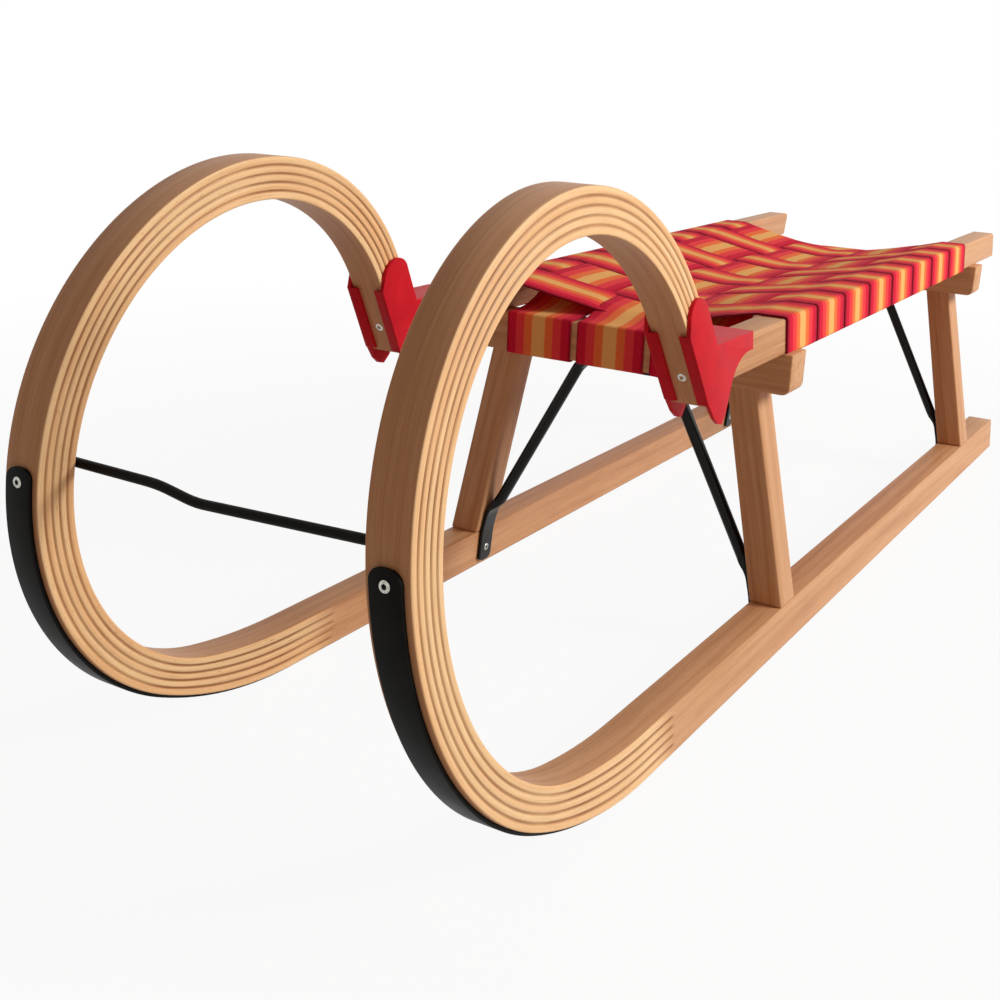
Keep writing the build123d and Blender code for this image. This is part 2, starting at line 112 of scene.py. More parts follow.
def make_piece(
    name: str,
    points: np.ndarray,
    faces: list,
    material: bpy.types.Material,
    vectors: Optional[dict[str, np.ndarray]] = None,
    floats: Optional[dict[str, np.ndarray]] = None,
) -> bpy.types.Object:
    """Make a smooth-shaded mesh object at the origin.

    Args:
        name: Name of the new object.
        points: Points in millimetres.
        faces: Faces as tuples of point numbers.
        material: The piece's only material.
        vectors: Vector attributes by name, one row for each point.
        floats: Number attributes by name, one value for each point.

    Returns:
        The linked object, with faces pointing outward.
    """
    mesh = bpy.data.meshes.new(name)
    mesh.from_pydata((np.asarray(points) * MM).tolist(), [], faces)
    for label, values in (vectors or {}).items():
        data = mesh.attributes.new(label, "FLOAT_VECTOR", "POINT").data
        data.foreach_set("vector", np.asarray(values, dtype=np.float32).ravel())
    for label, values in (floats or {}).items():
        data = mesh.attributes.new(label, "FLOAT", "POINT").data
        data.foreach_set("value", np.asarray(values, dtype=np.float32).ravel())
    return dress_mesh(name, mesh, material)


def dress_mesh(name: str, mesh: bpy.types.Mesh, material: bpy.types.Material) -> bpy.types.Object:
    """Turn a mesh's faces outward, shade it smooth and link it as an object with one material."""
    work = bmesh.new()
    work.from_mesh(mesh)
    bmesh.ops.recalc_face_normals(work, faces=work.faces)
    work.to_mesh(mesh)
    work.free()
    mesh.materials.clear()
    mesh.materials.append(material)
    mesh.shade_smooth()
    mesh.set_sharp_from_angle(angle=SMOOTH_ANGLE)
    piece = bpy.data.objects.new(name, mesh)
    bpy.context.collection.objects.link(piece)
    return piece


def ease_edges(work: bmesh.types.BMesh, edges: list, radius: float) -> None:
    """Round some edges of a mesh, in its own unit."""
    bmesh.ops.bevel(
        work, geom=edges, offset=radius, segments=3, profile=0.5, affect="EDGES", clamp_overlap=True
    )


def hand_in(piece: bpy.types.Object, slot: str, *nodes: str) -> None:
    """Ride a piece on the sled's body and hide the solids it stands for.

    Args:
        piece: The finished piece.
        slot: Material slot of the record; not used.
        nodes: CAD nodes that the piece replaces.
    """
    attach(piece, "root")
    if nodes:
        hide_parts(*nodes)
    solids = ", ".join(nodes) or "no solid"
    log.info("%s: %d faces, stands for %s", piece.name, len(piece.data.polygons), solids)


# ---- Finishes

WHITE = "FFFFFF"


def linear(code: str) -> tuple[float, float, float, float]:
    """Turn an sRGB hex colour into the linear colour that a shader wants."""
    parts = [int(code[start:start + 2], 16) / 255 for start in (0, 2, 4)]
    straight = [part / 12.92 if part <= 0.04045 else ((part + 0.055) / 1.055) ** 2.4 for part in parts]
    return (*straight, 1.0)


def add_node(
    tree: bpy.types.NodeTree, kind: str, settings: Optional[dict] = None, **inputs: Given
) -> bpy.types.Node:
    """Add a node to a tree.

    Args:
        tree: The node tree.
        kind: The node's type name.
        settings: The node's own properties by name.
        inputs: Values, or output sockets to link, by input name with _ for a blank or by number as i0.

    Returns:
        The new node.
    """
    node = tree.nodes.new(kind)
    for key, value in (settings or {}).items():
        setattr(node, key, value)
    for key, value in inputs.items():
        number = key[1:] if key[0] == "i" and key[1:].isdigit() else None
        socket = node.inputs[int(number)] if number else node.inputs[key.replace("_", " ")]
        if isinstance(value, bpy.types.NodeSocket):
            tree.links.new(value, socket)
        else:
            socket.default_value = value
    return node


class Sheet:
    """One material's node tree, with short ways to add nodes to it."""

    def __init__(self, name: str) -> None:
        """Start an empty material of this name."""
        self.material = bpy.data.materials.new(name)
        self.material.use_nodes = True
        self.tree = self.material.node_tree
        self.tree.nodes.clear()

    def add(self, kind: str, settings: Optional[dict] = None, **inputs: Given) -> bpy.types.Node:
        """Add a node to the material's tree."""
        return add_node(self.tree, kind, settings, **inputs)

    def noise(self, place: Given, scale: float, detail: float, **inputs: Given) -> bpy.types.NodeSocket:
        """Add a noise pattern and return its strength."""
        node = self.add("ShaderNodeTexNoise", Vector=place, Scale=scale, Detail=detail, **inputs)
        return node.outputs[0]

    def attribute(self, name: str, output: str) -> bpy.types.NodeSocket:
        """Read one of the mesh's attributes."""
        return self.add("ShaderNodeAttribute", {"attribute_name": name}).outputs[output]

    def fit(
        self, value: Given, low: float, high: float, reach: tuple[float, float] = (0.0, 1.0)
    ) -> bpy.types.NodeSocket:
        """Bring a value from the range reach into the range low to high."""
        start, stop = reach
        return self.add(
            "ShaderNodeMapRange", Value=value, From_Min=start, From_Max=stop, To_Min=low, To_Max=high
        ).outputs[0]

    def reckon(self, operation: str, first: Given, second: Given = 0.0) -> bpy.types.NodeSocket:
        """Add a sum of one or two numbers or sockets."""
        return self.add("ShaderNodeMath", {"operation": operation}, i0=first, i1=second).outputs[0]

    def mix(self, share: Given, under: Given, over: Given, blend: str = "MIX") -> bpy.types.NodeSocket:
        """Lay one colour over another."""
        return self.add(
            "ShaderNodeMix", {"data_type": "RGBA", "blend_type": blend}, i0=share, i6=under, i7=over
        ).outputs[2]

    def ramp(
        self, factor: Given, places: Sequence[float], codes: Sequence[str]
    ) -> bpy.types.NodeSocket:
        """Add a colour ramp.

        Args:
            factor: What the ramp reads.
            places: Places of the ramp's stops, from 0 to 1.
            codes: Their sRGB hex colours.

        Returns:
            The colour output.
        """
        node = self.add("ShaderNodeValToRGB", Fac=factor)
        elements = node.color_ramp.elements
        while len(elements) < len(places):
            elements.new(1.0)
        for element, place, code in zip(elements, places, codes):
            element.position = place
            element.color = linear(code)
        return node.outputs["Color"]

    def end(self, surface: bpy.types.Node) -> bpy.types.Material:
        """Link a shader to the output and return the material."""
        self.add("ShaderNodeOutputMaterial", Surface=surface.outputs[0])
        return self.material


@dataclass(frozen=True)
class VarnishedBeech:
    """Beech, planed and clear varnished: pinkish tan, fine even grain and short brown flecks."""

    name: str = "varnished_beech"
    pale: str = "D9A679"
    tone: str = "D09B6D"
    dark: str = "C28B5F"
    pore: str = "BFA288"
    fleck: str = "A46A44"
    glue: str = "965F33"
    ply_pale: str = "FFD8A2"
    ply_tone: str = "F8C48C"
    glued: bool = False
    # Growth rings run the length of the wood, 5 to 9 mm apart; scales are turns per millimetre
    ring_scale: tuple = (0.0035, 0.16, 0.11)
    ring_bend: float = 0.35
    # Where dark, middle and pale wood lie in the pattern of the rings, then the two tones of a ply
    ring_stops: tuple = (0.30, 0.46, 0.64)
    ply_stops: tuple = (0.36, 0.60)
    # Fine pores, drawn about 0.8 mm wide so that they show
    pore_scale: tuple = (0.022, 1.25, 1.25)
    pore_rough: float = 0.65
    pore_stops: tuple = (0.32, 0.55)
    pore_share: float = 0.34
    # Ray flecks are 1 to 4 mm long, drawn at 5 mm
    fleck_scale: tuple = (0.20, 1.7, 1.7)
    fleck_reach: tuple = (0.66, 0.78)
    fleck_share: float = 0.5
    # Glue lines fade in and out over about 80 mm
    patch_scale: float = 0.012
    patch_reach: tuple = (0.35, 0.65)
    glue_least: float = 0.55
    roughness: float = 0.46
    spread: tuple = (0.06, 0.08)
    specular: float = 0.2
    ior: float = 1.5
    pore_depth: float = 0.00015
    pore_strength: float = 0.25

    def build(self) -> bpy.types.Material:
        """Make the material, which reads the attributes grain (millimetres), ply_edge and glue."""
        sheet = Sheet(self.name)
        grain = sheet.attribute("grain", "Vector")
        turned = [
            sheet.add("ShaderNodeMapping", Vector=grain, Scale=scale).outputs[0]
            for scale in (self.ring_scale, self.pore_scale, self.fleck_scale)
        ]
        figure = sheet.noise(turned[0], 1.0, 3.0, Distortion=self.ring_bend)
        pores = sheet.noise(turned[1], 1.0, 4.0, Roughness=self.pore_rough)
        flecks = sheet.noise(turned[2], 1.0, 1.0)
        colour = sheet.ramp(figure, self.ring_stops, (self.dark, self.tone, self.pale))
        if self.glued:
            # Sawn ply edges are paler and yellower than the planed faces
            plies = sheet.ramp(figure, self.ply_stops, (self.ply_tone, self.ply_pale))
            colour = sheet.mix(sheet.attribute("ply_edge", "Fac"), colour, plies)
        lines = sheet.ramp(pores, self.pore_stops, (self.pore, WHITE))
        colour = sheet.mix(self.pore_share, colour, lines, "MULTIPLY")
        share = sheet.fit(flecks, 0.0, self.fleck_share, self.fleck_reach)
        colour = sheet.mix(share, colour, linear(self.fleck))
        if self.glued:
            patches = sheet.noise(grain, self.patch_scale, 2.0)
            worn = sheet.fit(patches, self.glue_least, 1.0, self.patch_reach)
            share = sheet.reckon("MULTIPLY", sheet.attribute("glue", "Fac"), worn)
            colour = sheet.mix(share, colour, linear(self.glue))
        less, more = self.spread
        shine = sheet.fit(pores, self.roughness - less, self.roughness + more)
        bump = sheet.add(
            "ShaderNodeBump", Strength=self.pore_strength, Distance=self.pore_depth, Height=pores
        )
        return sheet.end(sheet.add(
            "ShaderNodeBsdfPrincipled", Base_Color=colour, Roughness=shine, IOR=self.ior,
            Specular_IOR_Level=self.specular, Normal=bump.outputs[0],
        ))


@dataclass(frozen=True)
class SkinFinish:
    """A finish with clouded colour and gloss, and a fine skin where the real one has it."""

    name: str
    base: str
    cloud: str
    stops: tuple[float, float]
    cloud_scale: float
    cloud_detail: float
    roughness: float
    spread: tuple[float, float]
    shader: dict[str, float]
    skin_scale: float = 0.0
    skin_strength: float = 0.0
    skin_depth: float = 0.0001

    def build(self) -> bpy.types.Material:
        """Make the material on Object coordinates."""
        sheet = Sheet(self.name)
        place = sheet.add("ShaderNodeTexCoord").outputs["Object"]
        clouds = sheet.noise(place, self.cloud_scale, self.cloud_detail)
        colour = sheet.ramp(clouds, self.stops, (self.base, self.cloud))
        less, more = self.spread
        shine = sheet.fit(clouds, self.roughness - less, self.roughness + more)
        given = dict(self.shader)
        if self.skin_scale:
            skin = sheet.noise(place, self.skin_scale, 2.0)
            given["Normal"] = sheet.add(
                "ShaderNodeBump", Strength=self.skin_strength, Distance=self.skin_depth, Height=skin
            ).outputs[0]
        surface = sheet.add("ShaderNodeBsdfPrincipled", Base_Color=colour, Roughness=shine, **given)
        return sheet.end(surface)


def coated_steel(name: str, roughness: float, specular: float) -> SkinFinish:
    """Mild steel, powder coated black: near black, with orange peel 1 to 2 mm across."""
    return SkinFinish(
        name=name, base="11110F", cloud="23221F", stops=(0.50, 0.80), cloud_scale=38.0, cloud_detail=5.0,
        roughness=roughness, spread=(0.08, 0.14), shader={"IOR": 1.5, "Specular_IOR_Level": specular},
        skin_scale=700.0, skin_strength=0.12,
    )


# Satin hides the lamp's reflection on shoes and bar, gloss shows it along the round tubes
SATIN_STEEL = coated_steel("satin_black_steel", 0.42, 0.06)
GLOSS_STEEL = coated_steel("gloss_black_steel", 0.28, 0.16)

# Bright zinc plate on steel screws: pale grey metal, dulled in specks of about a millimetre
ZINC_PLATE = SkinFinish(
    name="zinc_plated_screw", base="A19D94", cloud="C9C6BE", stops=(0.35, 0.6), cloud_scale=900.0,
    cloud_detail=2.0, roughness=0.34, spread=(0.1, 0.15), shader={"Metallic": 1.0},
)

# Polyamide, injection moulded in red: an even bright red, with a spark-eroded skin drawn at 0.8 mm
MOULDED_RED = SkinFinish(
    name="moulded_red_polyamide", base="C61A28", cloud="D2202C", stops=(0.35, 0.65), cloud_scale=60.0,
    cloud_detail=3.0, roughness=0.46, spread=(0.05, 0.1),
    shader={"IOR": 1.53, "Specular_IOR_Level": 0.07}, skin_scale=1250.0, skin_strength=0.1,
)


@dataclass(frozen=True)
class StripedWebbing:
    """Polypropylene webbing, woven with gold, orange and red stripes: matt, with a fine ribbed weave;
    painted shade darkens the weave's low spots and, along with the strap's own dark border, its edges.
    """

    name: str = "striped_webbing"
    half_width: float = 35.0
    # Where each stripe starts from the strap's middle line, in millimetres, and its colour; the two
    # deepest reds at the borders are partly the strap's own dark border and partly painted shade where
    # straps meet
    stripes: tuple = ((0.0, "FFC070"), (6.6, "FF7B42"), (14.5, "FA444A"), (23.0, "DE1A3C"),
                      (30.5, "B20F30"), (33.6, "86081F"))
    blend: float = 0.7
    wander: float = 0.7
    wander_scale: float = 0.35
    # Warp threads are 1.9 mm wide and weft ribs 2.3 mm, so both show
    thread: float = 1.9
    rib: float = 2.3
    fuzz_scale: float = 1.3
    weave_reach: tuple = (-0.5, 1.5)
    weave_depth: float = 0.0003
    weave_strength: float = 0.5
    # Painted shade: the weave's low spots are multiplied toward this grey at half strength
    gap: str = "B0A8A8"
    gap_stops: tuple = (0.0, 0.6)
    gap_share: float = 0.5
    roughness: float = 0.8
    specular: float = 0.1
    sheen: float = 0.03
    sheen_roughness: float = 0.5

    def build(self) -> bpy.types.Material:
        """Make the material, which reads the attribute cloth: millimetres along and across, and seed."""
        sheet = Sheet(self.name)
        cloth = sheet.attribute("cloth", "Vector")
        along, across, _ = sheet.add("ShaderNodeSeparateXYZ", Vector=cloth).outputs
        shift = sheet.fit(sheet.noise(cloth, self.wander_scale, 2.0), -self.wander, self.wander)
        beside = sheet.reckon("ADD", sheet.reckon("ABSOLUTE", across), shift)
        place = sheet.reckon("DIVIDE", beside, self.half_width)
        blend = self.blend / self.half_width
        # The border stops paint shade between straps on top of the strap's own dark border
        stops, codes = [self.stripes[0][0]], [self.stripes[0][1]]
        for (_, old), (start, new) in zip(self.stripes, self.stripes[1:]):
            stops += [start / self.half_width - blend, start / self.half_width + blend]
            codes += [old, new]
        colour = sheet.ramp(place, stops, codes)
        # Warp threads lie side by side across the strap, weft ribs follow each other along it
        warp, weft = [
            sheet.reckon("SINE", sheet.reckon("MULTIPLY", source, 2 * math.pi / size))
            for source, size in ((across, self.thread), (along, self.rib))
        ]
        fuzz = sheet.noise(cloth, self.fuzz_scale, 3.0)
        weave = sheet.reckon("ADD", sheet.reckon("MULTIPLY", warp, weft), fuzz)
        depth = sheet.fit(weave, 0.0, 1.0, self.weave_reach)
        # Painted shade in the weave's low spots, read from the same depth as the bump
        weave_shade_tone = sheet.ramp(depth, self.gap_stops, (self.gap, WHITE))
        colour = sheet.mix(self.gap_share, colour, weave_shade_tone, "MULTIPLY")
        bump = sheet.add(
            "ShaderNodeBump", Strength=self.weave_strength, Distance=self.weave_depth, Height=depth
        )
        return sheet.end(sheet.add(
            "ShaderNodeBsdfPrincipled", Base_Color=colour, Roughness=self.roughness,
            Specular_IOR_Level=self.specular, Sheen_Weight=self.sheen,
            Sheen_Roughness=self.sheen_roughness, Normal=bump.outputs[0],
        ))


# ---- Shape of the leaning sides


@dataclass(frozen=True)
class LeaningSide:
    """The plane that a runner, its horn and its rail share, leaning inward from the floor."""

    face: float = 172.0
    lean: float = math.atan(0.0945)

    def place(self, hand: Hand, reach: np.ndarray, climb: np.ndarray, inset: np.ndarray) -> np.ndarray:
        """Give the points of one side.

        Args:
            hand: Which side.
            reach: Forward place in the part's frame.
            climb: Length up the leaning side.
            inset: Distance inward from the outer face.

        Returns:
            The points, shaped as the inputs with three places each.
        """
        reach, climb, inset = np.broadcast_arrays(reach, climb, inset)
        across = hand.value * (self.face - inset - climb * math.sin(self.lean))
        return np.stack([reach, across, climb * math.cos(self.lean)], axis=-1)

    def outer(self, height: float) -> float:
        """Distance of the outer face from the middle at a height."""
        return self.face - math.tan(self.lean) * height


SIDE = LeaningSide()


@dataclass(frozen=True)
class HornLine:
    """Line of the lath: straight run, then toe, bow and throat in tangent arcs, then a straight tail."""

    run_length: float = 1035.5
    run_depth: float = 36.4
    bent_depth: float = 28.6
    shoe: float = 3.0
    toe_radius: float = 314.0
    toe_turn: float = 26.0
    bow_radius: float = 182.7
    bow_turn: float = 139.5
    throat_radius: float = 172.7
    throat_turn: float = 74.5
    tail_height: float = 244.0
    tail_length: float = 120.0

    @property
    def turn(self) -> float:
        """Whole turn of the horn in degrees."""
        return self.toe_turn + self.bow_turn + self.throat_turn

    def bow_centre(self) -> tuple[float, float]:
        """Centre of the bow as reach and climb."""
        spread = self.toe_radius - self.bow_radius
        turn = math.radians(self.toe_turn)
        low = self.shoe + self.bent_depth / 2 + self.toe_radius
        return HEEL + self.run_length + spread * math.sin(turn), low - spread * math.cos(turn)

    def point(self, share: float, station: float, lift: float = 0.0) -> tuple[float, float]:
        """Place on the line at a share of the lath's depth.

        Args:
            share: 0 at the outside of the bend, 1 at the inside.
            station: -1 to 0 along the run, then the heading in degrees, then the whole turn plus
                0 to 1 down the tail.
            lift: Distance further inward.

        Returns:
            Reach and climb.
        """
        level = self.shoe + share * self.run_depth + lift
        radius = self.bow_radius + self.bent_depth / 2 - share * self.bent_depth - lift
        if station <= 0:
            return HEEL + self.run_length * (1 + station), level
        centre_x, centre_z = self.bow_centre()
        forward, rise = centre_x - HEEL - self.run_length, level - centre_z
        toe = (radius**2 - forward**2 - rise**2) / (2 * (rise + radius))
        toe_end = math.degrees(math.asin(forward / (toe - radius)))
        heading = math.radians(min(station, self.turn))
        if station <= toe_end:
            reach = HEEL + self.run_length + toe * math.sin(heading)
            return reach, level + toe - toe * math.cos(heading)
        bow_end = math.radians(self.toe_turn + self.bow_turn)
        if heading > bow_end:
            spread = self.bow_radius - self.throat_radius
            centre_x += spread * math.sin(bow_end)
            centre_z -= spread * math.cos(bow_end)
            radius -= spread
        reach, climb = centre_x + radius * math.sin(heading), centre_z - radius * math.cos(heading)
        if station > self.turn:
            fall = climb - self.tail_height / math.cos(SIDE.lean)
            slope = math.tan(math.radians(self.turn - 180))
            reach -= (station - self.turn) * fall / slope
            climb -= (station - self.turn) * fall
        return reach, climb

    def run_station(self, along: float) -> float:
        """Station of a place on the run, as a length from the heel."""
        return along / self.run_length - 1

    def length(self, station: float) -> float:
        """Rough length along the middle of the lath up to a station."""
        if station <= 0:
            return self.run_length * (1 + station)
        toe = math.radians(min(station, self.toe_turn)) * self.toe_radius
        bow = math.radians(max(min(station, self.turn) - self.toe_turn, 0)) * self.bow_radius
        return self.run_length + toe + bow + max(station - self.turn, 0) * self.tail_length


LINE = HornLine()


def rounded_ring(
    depth: float, width: float, ease: float, steps: int = 4
) -> list[tuple[float, float]]:
    """Go round a rectangle with rounded corners.

    Args:
        depth: Size of the rectangle's first side.
        width: Size of its second side.
        ease: Corner radius.
        steps: Faces in each corner.

    Returns:
        Depth and width places in order.
    """
    corners = ((ease, ease), (depth - ease, ease), (depth - ease, width - ease), (ease, width - ease))
    ring = []
    for quarter, (centre_d, centre_w) in enumerate(corners):
        for step in range(steps + 1):
            angle = math.radians(90 * (quarter + step / steps))
            ring.append((centre_d - ease * math.cos(angle), centre_w - ease * math.sin(angle)))
    return ring


def soft_step(value: float) -> float:
    """Smooth step from 0 to 1."""
    value = min(max(value, 0.0), 1.0)
    return value * value * (3 - 2 * value)


def rounded_path(
    corners: Sequence[tuple[float, float]], radius: float, step: float, parts: int = 5
) -> list[tuple[float, float]]:
    """Round a line's corners and divide it evenly.

    Args:
        corners: The line's corners.
        radius: Length along each side where the rounding starts.
        step: Longest distance between points.
        parts: Steps in each rounded corner.

    Returns:
        Points along the rounded line.
    """
    spots = [Vector(corner) for corner in corners]
    path = [spots[0]]
    for before, here, after in zip(spots, spots[1:], spots[2:]):
        reach = min(radius, (before - here).length / 2, (after - here).length / 2)
        start = here + (before - here).normalized() * reach
        stop = here + (after - here).normalized() * reach
        for part in range(parts + 1):
            share = part / parts
            path.append(start.lerp(here, share).lerp(here.lerp(stop, share), share))
    path.append(spots[-1])
    dense = [path[0]]
    for here in path[1:]:
        count = max(1, math.ceil((here - dense[-1]).length / step))
        last = dense[-1]
        dense.extend(last.lerp(here, part / count) for part in range(1, count + 1))
    return [tuple(spot) for spot in dense]


# ---- Runners and horns


@dataclass(frozen=True)
class BentRunner:
    """One lath from heel to socket, with five plies showing as soft grooves past the kerfs."""

    hand: Hand
    width: float = 29.0
    ease: float = 1.3
    plies: int = 5
    kerf_start: float = 989.0
    kerf_fade: float = 7.0
    # Sawn colour comes in over this length, a fifth of it before the kerfs start
    pale_fade: float = 46.0
    pale_lead: float = 0.2
    groove: tuple = ((-1.5, 0.0, 0.0), (-1.0, 0.2, 0.4), (-0.45, 0.6, 0.9), (0.0, 0.75, 1.0),
                     (0.45, 0.6, 0.9), (1.0, 0.2, 0.4), (1.5, 0.0, 0.0))
    end_ease: tuple = ((0.0, 1.6), (0.45, 0.7), (1.6, 0.0))
    run_step: float = 25.0
    kerf_steps: tuple = (-6, -4, -3, -2, -1, 0, 1, 2, 3, 4, 6, 10, 18, 28, 38)
    turn_step: float = 1.5
    tail_steps: tuple = (0.25, 0.5, 0.75, 1.0)
    # Start of the right lath's figure, so that the two laths don't look alike
    right_figure: float = 4000.0

    def ring(self) -> np.ndarray:
        """Give each point of the section: share of depth, inset, groove depth, glue and ply edge."""
        depth = LINE.bent_depth
        corners = rounded_ring(depth, self.width, self.ease)
        quarter = len(corners) // 4
        grooves = [
            (ply * depth / self.plies + across, sink, glue)
            for ply in range(1, self.plies) for across, sink, glue in self.groove
        ]
        spots = [(d, w, 0.0, 0.0) for d, w in corners[:quarter]]
        spots += [(d, 0.0, sink, glue) for d, sink, glue in grooves]
        spots += [(d, w, 0.0, 0.0) for d, w in corners[quarter:3 * quarter]]
        spots += [(d, self.width, -sink, glue) for d, sink, glue in reversed(grooves)]
        spots += [(d, w, 0.0, 0.0) for d, w in corners[3 * quarter:]]
        ring = np.array(spots)
        ring[:, 0] /= depth
        edge = (ring[:, 1] < self.ease / 3) | (ring[:, 1] > self.width - self.ease / 3)
        return np.column_stack([ring, edge])

    def stations(self) -> list[tuple[float, float]]:
        """Give each station on the line and how far the section draws in there."""
        along = [(place, draw) for place, draw in self.end_ease]
        plain_end = self.kerf_start + self.kerf_steps[0] - self.run_step / 4
        along += [(place, 0.0) for place in np.arange(self.run_step, plain_end, self.run_step)]
        along += [(self.kerf_start + step, 0.0) for step in self.kerf_steps]
        stations = [(LINE.run_station(place), draw) for place, draw in along]
        stations += [(turn, 0.0) for turn in np.arange(0.0, LINE.turn + 0.1, self.turn_step)]
        stations += [(LINE.turn + share, 0.0) for share in self.tail_steps]
        return stations

    def build(self, material: bpy.types.Material) -> None:
        """Build the lath and hand it in for its solid."""
        section = self.ring()
        rings, grain, glue, ply_edge = [], [], [], []
        for station, draw in self.stations():
            along = LINE.run_length * (1 + station) if station <= 0 else LINE.run_length
            open_share = soft_step((along - self.kerf_start) / self.kerf_fade + 0.5)
            shares = 0.5 + (section[:, 0] - 0.5) * (1 - 2 * draw / LINE.run_depth)
            insets = self.width / 2 + (section[:, 1] - self.width / 2) * (1 - 2 * draw / self.width)
            line = np.array([LINE.point(share, station) for share in shares])
            sunk = insets + section[:, 2] * open_share
            rings.append(SIDE.place(self.hand, line[:, 0], line[:, 1], sunk))
            length = LINE.length(station) + (0 if self.hand is Hand.LEFT else self.right_figure)
            lengths = np.full(len(shares), length)
            grain.append(np.stack([lengths, insets, shares * LINE.bent_depth], axis=-1))
            glue.append(section[:, 3] * open_share)
            pale_share = soft_step((along - self.kerf_start) / self.pale_fade + self.pale_lead)
            ply_edge.append(section[:, 4] * pale_share)
        points, faces = ring_skin(np.array(rings))
        piece = make_piece(
            f"bent_runner_{self.hand.word}", points, faces, material,
            {"grain": np.concatenate(grain)},
            {"glue": np.concatenate(glue), "ply_edge": np.concatenate(ply_edge)},
        )
        hand_in(piece, "laminated_beech", f"runner_{self.hand.word}")


@dataclass(frozen=True)
class RunnerShoe:
    """Flat steel under the runner, carried up the front of the horn to a rounded end."""

    hand: Hand
    side_inset: float = 4.0
    width: float = 21.0
    thickness: float = 3.0
    ease: float = 0.7
    bow_turn: float = 70.6
    end_round: float = 8.0
    run_steps: tuple = (0.0, 2.0, 300.0, 600.0, 900.0)
    turn_step: float = 1.5
    # Degrees left free between the last plain station and the rounded end
    end_gap: float = 0.4
    end_steps: tuple = (8.0, 7.0, 6.0, 5.0, 4.0, 3.0, 2.0, 1.2, 0.6, 0.25, 0.0)

    def build(self, material: bpy.types.Material) -> None:
        """Build the shoe and hand it in for its solid."""
        end = LINE.toe_turn + self.bow_turn
        degrees_per_mm = math.degrees(1 / (LINE.bow_radius + LINE.bent_depth / 2))
        stations = [(LINE.run_station(along), 0.0) for along in self.run_steps]
        straight_end = end - self.end_round * degrees_per_mm - self.end_gap
        stations += [(turn, 0.0) for turn in np.arange(0.0, straight_end, self.turn_step)]
        for left in self.end_steps:
            draw = self.end_round - math.sqrt(self.end_round**2 - (self.end_round - left)**2)
            stations.append((end - left * degrees_per_mm, draw))
        rings = []
        for station, draw in stations:
            ring = rounded_ring(self.thickness, self.width - 2 * draw, self.ease, 3)
            line = np.array([LINE.point(0.0, station, d - self.thickness) for d, w in ring])
            insets = np.array([self.side_inset + draw + w for d, w in ring])
            rings.append(SIDE.place(self.hand, line[:, 0], line[:, 1], insets))
        points, faces = ring_skin(np.array(rings))
        piece = make_piece(f"runner_shoe_{self.hand.word}", points, faces, material)
        hand_in(piece, "shoe_steel", f"shoe_{self.hand.word}")


# ---- Trestles and rails


def plank(
    name: str,
    outline: Sequence[Sequence[float]],
    thickness: Sequence[float],
    along: Sequence[float],
    ease: float,
    material: bpy.types.Material,
    seed: float,
) -> bpy.types.Object:
    """Make a solid of wood from a flat outline, with all its sharp edges eased.

    Args:
        name: Name of the new object.
        outline: Corners of one face.
        thickness: Way from that face to the opposite one.
        along: Way of the grain.
        ease: Radius of the eased edges.
        material: Finish.
        seed: Place in the wood that the pattern starts from.

    Returns:
        The linked object.
    """
    work = bmesh.new()
    way = Vector(thickness)
    near = [work.verts.new(Vector(spot)) for spot in outline]
    far = [work.verts.new(Vector(spot) + way) for spot in outline]
    work.faces.new(near)
    work.faces.new(reversed(far))
    for spot in range(len(near)):
        after = (spot + 1) % len(near)
        work.faces.new((near[spot], near[after], far[after], far[spot]))
    bmesh.ops.recalc_face_normals(work, faces=work.faces)
    sharp = [edge for edge in work.edges if edge.calc_face_angle(0.0) > SMOOTH_ANGLE]
    ease_edges(work, sharp, ease)
    mesh = bpy.data.meshes.new(name)
    work.to_mesh(mesh)
    work.free()
    points = np.array([vertex.co for vertex in mesh.vertices])
    length_way = Vector(along).normalized()
    depth_way = way.normalized()
    side_way = length_way.cross(depth_way)
    axes = np.array([length_way, side_way, depth_way]).T
    data = mesh.attributes.new("grain", "FLOAT_VECTOR", "POINT").data
    data.foreach_set("vector", (points @ axes + seed).astype(np.float32).ravel())
    mesh.transform(Matrix.Scale(MM, 4))
    return dress_mesh(name, mesh, material)


